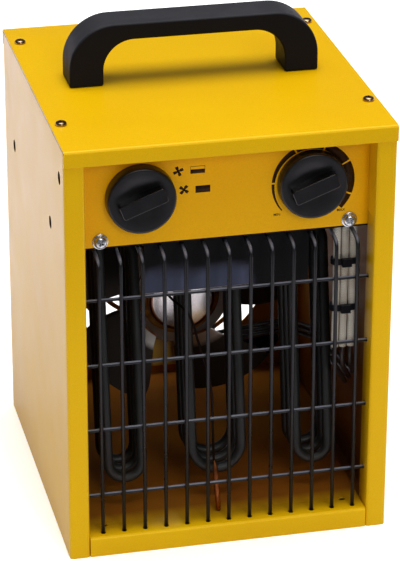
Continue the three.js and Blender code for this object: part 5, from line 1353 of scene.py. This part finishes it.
def pan_head(head, shank, length, height, washer=0.0):
    """A pan head screw with a cross recess. Its seat is at 0 and it points down."""
    base = 0.8 if washer else 0
    profile = [(0, -length), (shank - 0.6, -length), (shank, -length + 0.8), (shank, 0)]
    if washer:
        profile += [(washer - 0.15, 0), (washer, 0.15), (washer, 0.65), (washer - 0.2, 0.8)]
    profile += [(head - 0.12, base), (head, base + 0.12), (head, base + 0.3 * height)]
    for share in (0.2, 0.4, 0.6, 0.8, 1):
        angle = math.radians(90 * share)
        radius = head * (0.45 + 0.55 * math.cos(angle))
        profile.append((radius, base + height * (0.3 + 0.7 * math.sin(angle))))
    profile.append((0, base + height))
    body = lathe(profile, "Z", 40)
    top = base + height
    arms = []
    reach = RECESS_REACH * head
    half = RECESS_WIDTH / 2 * head
    for angle in (0, 90):
        arm = block((-reach, -half, top - RECESS_DEPTH), (reach, half, top + 1))
        arm.transform(Matrix.Rotation(math.radians(angle), 4, "Z"))
        arms.append(arm)
    middle = lathe([(0, top - 1.6), (0.16 * head, top - 1.6), (0.34 * head, top + 1),
                    (0, top + 1)], "Z", 12)
    return shaped(body, [], [shaped(arms[0], [arms[1], middle])])


def screw(name, seat, direction, material, head, length, height, washer=0.0, turn=20.0):
    """A screw at its seat. The direction is where the head faces."""
    mesh = pan_head(head, SCREW_RADIUS, length, height, washer)
    mesh.transform(Matrix.Rotation(math.radians(turn), 4, "Z"))
    facing = Vector((0, 0, 1)).rotation_difference(Vector(direction)).to_matrix().to_4x4()
    mesh.transform(Matrix.Translation(seat) @ facing)
    make_piece(name + "_fine", mesh, material, "case", [name], edge=0.08, segments=1, angle=50)


def screws():
    for side, hand in (("left", -1), ("right", 1)):
        for end, back in zip(("front", "rear"), LID_SCREW_BACKS):
            screw(f"lid_screw_{end}_{side}", (hand * SCREW_CORNER, behind(back), CASE_HEIGHT),
                  (0, 0, 1), DARK_SCREW_STEEL, *SHEET_SCREW, 0, 35 * hand + back)
        screw(f"handle_screw_{side}", (hand * HANDLE_FEET[1], behind(HANDLE_BACK), SIDE_TOP),
              (0, 0, -1), DARK_SCREW_STEEL, *HANDLE_SCREW)
        screw(f"panel_screw_{side}", (hand * PANEL_SCREW_X, PANEL_FACE, PANEL_SCREW_HEIGHT),
              (0, -1, 0), ZINC, *PANEL_SCREW, PANEL_WASHER, 28 * hand)
        for level, z in zip(("lower", "upper"), REAR_SCREW_HEIGHTS):
            screw(f"rear_screw_{level}_{side}", (hand * SCREW_CORNER, REAR, z), (0, 1, 0),
                  DARK_SCREW_STEEL, *SHEET_SCREW, 0, 15 * hand + z)


screws()

# ---- Fan and motor ----


def fan_blade():
    """One pressed blade, curved and twisted, with its axis along Y."""
    rows = 22
    columns = 20
    span = math.radians(BLADE_SPAN)
    mesh = bmesh.new()
    layers = []
    for side in (-1, 1):
        grid = []
        for i in range(rows + 1):
            t = i / rows
            radius = BLADE_ROOT + (FAN_RADIUS - BLADE_ROOT) * t
            width = span * (0.86 + 0.3 * t - 0.34 * t ** 4)
            pitch = math.radians(BLADE_PITCH * (1.25 - 0.5 * t))
            row = []
            for j in range(columns + 1):
                u = j / columns - 0.5
                angle = u * width + BLADE_SWEEP * t
                chord = radius * u * width
                camber = BLADE_CAMBER * radius * (1 - 4 * u * u)
                lean = chord * math.tan(pitch) * BLADE_LEAN
                depth = side * BLADE_THICKNESS / 2 - lean - camber
                place = (radius * math.cos(angle), depth, radius * math.sin(angle))
                row.append(mesh.verts.new(place))
            grid.append(row)
        layers.append(grid)
    front, back = layers
    for i in range(rows):
        for j in range(columns):
            for grid in layers:
                mesh.faces.new((grid[i][j], grid[i][j + 1], grid[i + 1][j + 1], grid[i + 1][j]))
    for i in range(rows):
        for j in (0, columns):
            mesh.faces.new((front[i][j], front[i + 1][j], back[i + 1][j], back[i][j]))
    for j in range(columns):
        for i in (0, rows):
            mesh.faces.new((front[i][j], front[i][j + 1], back[i][j + 1], back[i][j]))
    bmesh.ops.recalc_face_normals(mesh, faces=mesh.faces)
    return mesh


def fan_impeller():
    small, middle, large = HUB_RADII
    step = HUB_STEP
    wall = HUB_WALL
    shell = lathe([
        (SHAFT_BORE, 0), (small - 2, 0), (small - 0.6, 0.3), (small, 1.5), (small, step - 0.3),
        (small + 0.5, step + 0.3), (middle - 1, step + 0.6), (middle - 0.2, step + 1.2),
        (middle, 2 * step - 0.5), (middle + 0.6, 2 * step + 0.3), (large - 1, 2 * step + 0.6),
        (large - 0.2, 2 * step + 1.2), (large, 3 * step), (large, 3 * step + wall),
        (middle, 2 * step + wall + 1), (middle - wall, step + wall + 1),
        (small - wall, step + 1), (small - wall - 1, wall), (SHAFT_BORE, wall)], "Y", 72)
    boss = lathe([(SHAFT_BORE, 0.7), (6, 0.7), (6, 11.6), (5.6, 12), (SHAFT_BORE, 12)], "Y", 36)
    place = Matrix.Translation((0, behind(FAN_BACK), FAN_HEIGHT))
    hub = merged([shell, boss])
    hub.transform(place)
    blades = []
    for index in range(FAN_BLADES):
        blade = fan_blade()
        turn = Matrix.Rotation(2 * math.pi * index / FAN_BLADES, 4, "Y")
        blade.transform(place @ Matrix.Translation((0, BLADES_AT * step, 0)) @ turn)
        blades.append(blade)
    make_piece("fan_hub", hub, ALUMINIUM, "fan", ["fan_impeller"], edge=0.3, angle=60)
    make_piece("fan_blades", merged(blades), BLADE_ALUMINIUM, "fan", edge=0.3, angle=60)


fan_impeller()
dressed("fan_nut", STEEL, "fan", 0.3)
dressed("motor_rotor", STEEL, "fan", 0.3)
dressed("motor_stator", LAMINATION, edge=0.25)
dressed("motor_coil", COIL_TAPE, edge=1.0, segments=3)
dressed("motor_front_bracket", CAST_ALUMINIUM, edge=0.4)
dressed("motor_rear_bracket", CAST_ALUMINIUM, edge=0.4)
for side_name in ("left", "right"):
    dressed(f"motor_screw_{side_name}", STEEL, edge=0.15)
    dressed(f"motor_spacer_{side_name}", STEEL, edge=0.2)

# ---- Cord gland ----


def gland():
    start = REAR_FACE + GLAND_FLANGE + GAP
    end = start + GLAND_DOME
    outer = GLAND_ACROSS_FLATS / 2 - 0.6
    centre = (GLAND_X, 0, GLAND_HEIGHT)

    def flute(angle, index):
        if index not in GLAND_FLUTED:
            return 0
        return -GLAND_FLUTE * (0.5 + 0.5 * math.cos(GLAND_RIBS * angle)) ** 3

    dome = lathe([
        (GLAND_RADIUS - 0.7, start), (outer - 0.2, start), (outer, start + 0.4),
        (outer, start + 0.45 * GLAND_DOME), (outer - 0.4, start + 0.6 * GLAND_DOME),
        (outer - 1.4, start + 0.78 * GLAND_DOME), (outer - 3.2, start + 0.94 * GLAND_DOME),
        (GLAND_BORE + 1.4, end), (GLAND_BORE + 0.2, end), (GLAND_BORE, end - 0.3),
        (GLAND_BORE, end - 1.4), (GLAND_RADIUS - 0.7, end - 2)], "Y", 112,
        centre, flute)
    make_piece("gland_cap", dome, BLACK_PLASTIC, stands_for=["gland_dome_nut"], edge=0)
    seal = lathe([(1.6, end - 6), (GLAND_BORE - 0.05, end - 6), (GLAND_BORE - 0.05, end - 1.6),
                  (GLAND_BORE - 0.4, end - 1.2), (2.2, end - 1.2), (1.6, end - 1.8)], "Y", 40,
                 centre)
    make_piece("gland_seal", seal, RUBBER, edge=0)


gland()
dressed("gland_body", BLACK_PLASTIC, edge=0.3)
dressed("gland_lock_nut", BLACK_PLASTIC, edge=0.3)

# ---- Print on the control panel ----

PRINT_THICKNESS = 0.05
PRINT_SINK = 0.02
SYMBOL_RADIUS = 3.3
# One blade of a fan symbol: shares of its radius, and bearings in radians
SYMBOL_BLADE = ((0.15, 0.7), (0.55, 0.66), (0.98, 0.4), (1.0, -0.16), (0.62, -0.34), (0.2, -0.6))
SYMBOL_HUB = 0.3
SCALE_CENTRE = (53.2, KNOB_HEIGHT - 0.4)
SCALE_RADIUS = 25.5
SCALE_BREAKS = (221, 177, 118, 73, 29, -22, -46)
SCALE_GAP = 1.1
SCALE_WIDTH = 0.7
SCALE_GROWTH = 7
WORD_HEIGHT = 1.65
CAPITAL_SHARE = 0.7
LETTER_WEIGHT = 0.03
FRAME_LINE = 0.22


def printed(name, outlines):
    """Thin film of print on the panel's face. The outlines lie in (X, Z)."""
    front = PANEL_FACE - PRINT_THICKNESS
    films = [prism(outline, "Y", front, PANEL_FACE + PRINT_SINK) for outline in outlines]
    make_piece(name, merged(films), INK, edge=0)


def fan_symbol(x, z, turn):
    """Four blades round a hub."""
    outlines = []
    for blade in range(4):
        base = turn + 90 * blade
        outlines.append([
            on_circle((x, z), SYMBOL_RADIUS * along, base + math.degrees(angle))
            for along, angle in reversed(SYMBOL_BLADE)])
    outlines.append(arc_points((x, z), SYMBOL_HUB * SYMBOL_RADIUS, 0, 337.5, 15))
    return outlines


def bar_outline(left, bottom, right, top):
    """A rectangle in (X, Z)."""
    return [(left, bottom), (right, bottom), (right, top), (left, top)]


def scale_ring():
    """Thickening scale round the thermostat knob, in six pieces with narrow gaps between."""
    start = SCALE_BREAKS[0]
    end = SCALE_BREAKS[-1]
    trim = math.degrees(SCALE_GAP / 2 / SCALE_RADIUS)
    pieces = []
    for first, last in zip(SCALE_BREAKS, SCALE_BREAKS[1:]):
        high = first - (trim if first != start else 0)
        low = last + (trim if last != end else 0)
        outside = arc_points(SCALE_CENTRE, SCALE_RADIUS, high, low, ARC_STEPS)
        inside = []
        for step in range(ARC_STEPS + 1):
            angle = high + (low - high) * step / ARC_STEPS
            width = SCALE_WIDTH + (start - angle) / (start - end) * SCALE_GROWTH
            inside.append(on_circle(SCALE_CENTRE, SCALE_RADIUS - width, angle))
        pieces.append(inside + outside[::-1])
    return pieces


def word(text, x, z):
    """A short printed word with its middle at x and its foot at z."""
    name = "print_" + text.lower()
    curve = bpy.data.curves.new(name, "FONT")
    curve.body = text
    curve.size = WORD_HEIGHT / CAPITAL_SHARE
    curve.align_x = "CENTER"
    curve.extrude = (PRINT_THICKNESS + PRINT_SINK) / 2
    curve.offset = LETTER_WEIGHT
    holder = add_object(name + "_source", curve)
    bpy.context.view_layer.update()
    mesh = bmesh.new()
    mesh.from_mesh(holder.evaluated_get(bpy.context.evaluated_depsgraph_get()).to_mesh())
    bpy.data.objects.remove(holder)
    mesh.transform(Matrix.Translation((x, PANEL_FACE - (PRINT_THICKNESS - PRINT_SINK) / 2, z))
                   @ Matrix.Rotation(math.radians(90), 4, "X"))
    make_piece(name, mesh, INK, edge=0)


def panel_print():
    left, right = -21.6, -12.8
    low, middle, high = 242.0, 244.6, 246.6
    printed("print_low_heat", [
        *fan_symbol(-28.9, 244.2, 15),
        bar_outline(left, low, right, middle),
        bar_outline(left, middle, left + FRAME_LINE, high),
        bar_outline(right - FRAME_LINE, middle, right, high),
        bar_outline(left, high - FRAME_LINE, right, high)])
    printed("print_full_heat", [
        *fan_symbol(-25.5, 232.2, 45),
        bar_outline(-18.5, 229.6, -9.6, 234.0)])
    printed("print_scale", scale_ring())
    word("MIN", 31.2, 210.2)
    word("MAX", 70.7, 209.7)


panel_print()

# ---- Studio ----

TOP_LAMP = 2.35
FRONT_LAMP = 0.64
SKY_ABOVE = 0.5
DARK_ROOM = 0.07
MIRRORED_ROOM = 0.05
NEAR_BOUNCE = 0.78
FAR_BOUNCE = 0.3
POOL_CENTRE = (0.1, -0.3, 0)
POOL_START = 0.3
POOL_END = 1.0
FLOOR_SHOWN = 1.42
# Painted shadow: how bright the mirrored floor is right by the heater.
NEAR_FLOOR_SHOWN = 0.65
FRONT_FLOOR_SHOWN = 0.15
FADE_START = -0.36
FADE_END = -0.5
NEAR_FLOOR = (0.15, 0.45)
ROSY = (0.94, 1.03)


def make_sun(name, direction, strength, spread):
    """A soft sun. The direction is where its light comes from and the spread is in degrees."""
    data = bpy.data.lights.new(name, "SUN")
    data.energy = strength
    data.angle = math.radians(spread)
    lamp = add_object(name, data)
    lamp.rotation_mode = "QUATERNION"
    lamp.rotation_quaternion = Vector(direction).to_track_quat("Z", "Y")


def grey(level):
    """A grey of a level that a socket gives."""
    return node(level.id_data, "ShaderNodeCombineColor", {0: level, 1: level, 2: level}).outputs[0]


def seen_by(path, lit, shown):
    """The lit colour, but the shown one where the camera looks directly."""
    seen = maths("MAXIMUM", path["Is Camera Ray"], path["Is Transmission Ray"])
    return blend_colours(seen, lit, shown)


def make_world():
    """A soft box overhead in a dark room, and pure white where the camera looks past the
    heater."""
    world = bpy.data.worlds.new("sky")
    world.use_nodes = True
    tree = world.node_tree
    shader = tree.nodes["Background"]
    path = node(tree, "ShaderNodeLightPath").outputs
    way = node(tree, "ShaderNodeTexCoord").outputs["Generated"]
    up = parts(way)["Z"]
    soft_box = remap(up, 0.45, 0.8, DARK_ROOM, SKY_ABOVE)
    backdrop = remap(up, 0.0, 0.08, 1.0, MIRRORED_ROOM)
    behind_it = remap(parts(way)["Y"], 0.0, 0.3, 0, 1)
    room = (MIRRORED_ROOM, MIRRORED_ROOM, MIRRORED_ROOM, 1)
    mirrored = blend_colours(behind_it, room, grey(backdrop))
    lit = blend_colours(path["Is Glossy Ray"], grey(soft_box), mirrored)
    tree.links.new(seen_by(path, lit, (1, 1, 1, 1)), shader.inputs["Color"])
    bpy.context.scene.world = world


def make_floor():
    """A wide pale floor, lit in a pool round the heater. Seen directly it is white, but for the
    object's shadow. Mirrored it is white beside and behind the heater, with a painted shadow
    close to it, and dark far in front."""
    mesh = bmesh.new()
    bmesh.ops.create_grid(mesh, x_segments=1, y_segments=1, size=30)
    floor = add_object("floor", mesh_data("floor", mesh))
    material = bpy.data.materials.new("floor_white")
    material.use_nodes = True
    tree = material.node_tree
    tree.nodes.remove(tree.nodes["Principled BSDF"])
    path = node(tree, "ShaderNodeLightPath").outputs
    place = node(tree, "ShaderNodeTexCoord").outputs["Object"]
    distance = node(tree, "ShaderNodeVectorMath", {0: place, 1: POOL_CENTRE},
                    operation="DISTANCE").outputs["Value"]
    pool = grey(remap(distance, POOL_START, POOL_END, NEAR_BOUNCE, FAR_BOUNCE))
    share = remap(parts(place)["Y"], FADE_END, FADE_START, FRONT_FLOOR_SHOWN, FLOOR_SHOWN)
    # Painted shadow: mirrored, the floor is darker close to the heater.
    from_middle = node(tree, "ShaderNodeVectorMath", {0: place}, operation="LENGTH")
    near = remap(from_middle.outputs["Value"], *NEAR_FLOOR, NEAR_FLOOR_SHOWN, 1)
    share = maths("MULTIPLY", share, near)
    rosy = node(tree, "ShaderNodeCombineColor", {
        0: share, 1: maths("MULTIPLY", share, ROSY[0]),
        2: maths("MULTIPLY", share, ROSY[1])}).outputs[0]
    lit = blend_colours(path["Is Glossy Ray"], pool, rosy)
    white = (FLOOR_SHOWN, FLOOR_SHOWN, FLOOR_SHOWN, 1)
    diffuse = node(tree, "ShaderNodeBsdfDiffuse", {"Color": seen_by(path, lit, white)})
    tree.links.new(diffuse.outputs[0], tree.nodes["Material Output"].inputs["Surface"])
    floor.data.materials.append(material)


make_sun("top_lamp", (0, 0, 1), TOP_LAMP, 45)
make_sun("front_lamp", (0.15, -0.95, 0.5), FRONT_LAMP, 20)
make_world()
make_floor()
bpy.context.scene.view_settings.view_transform = "Standard"
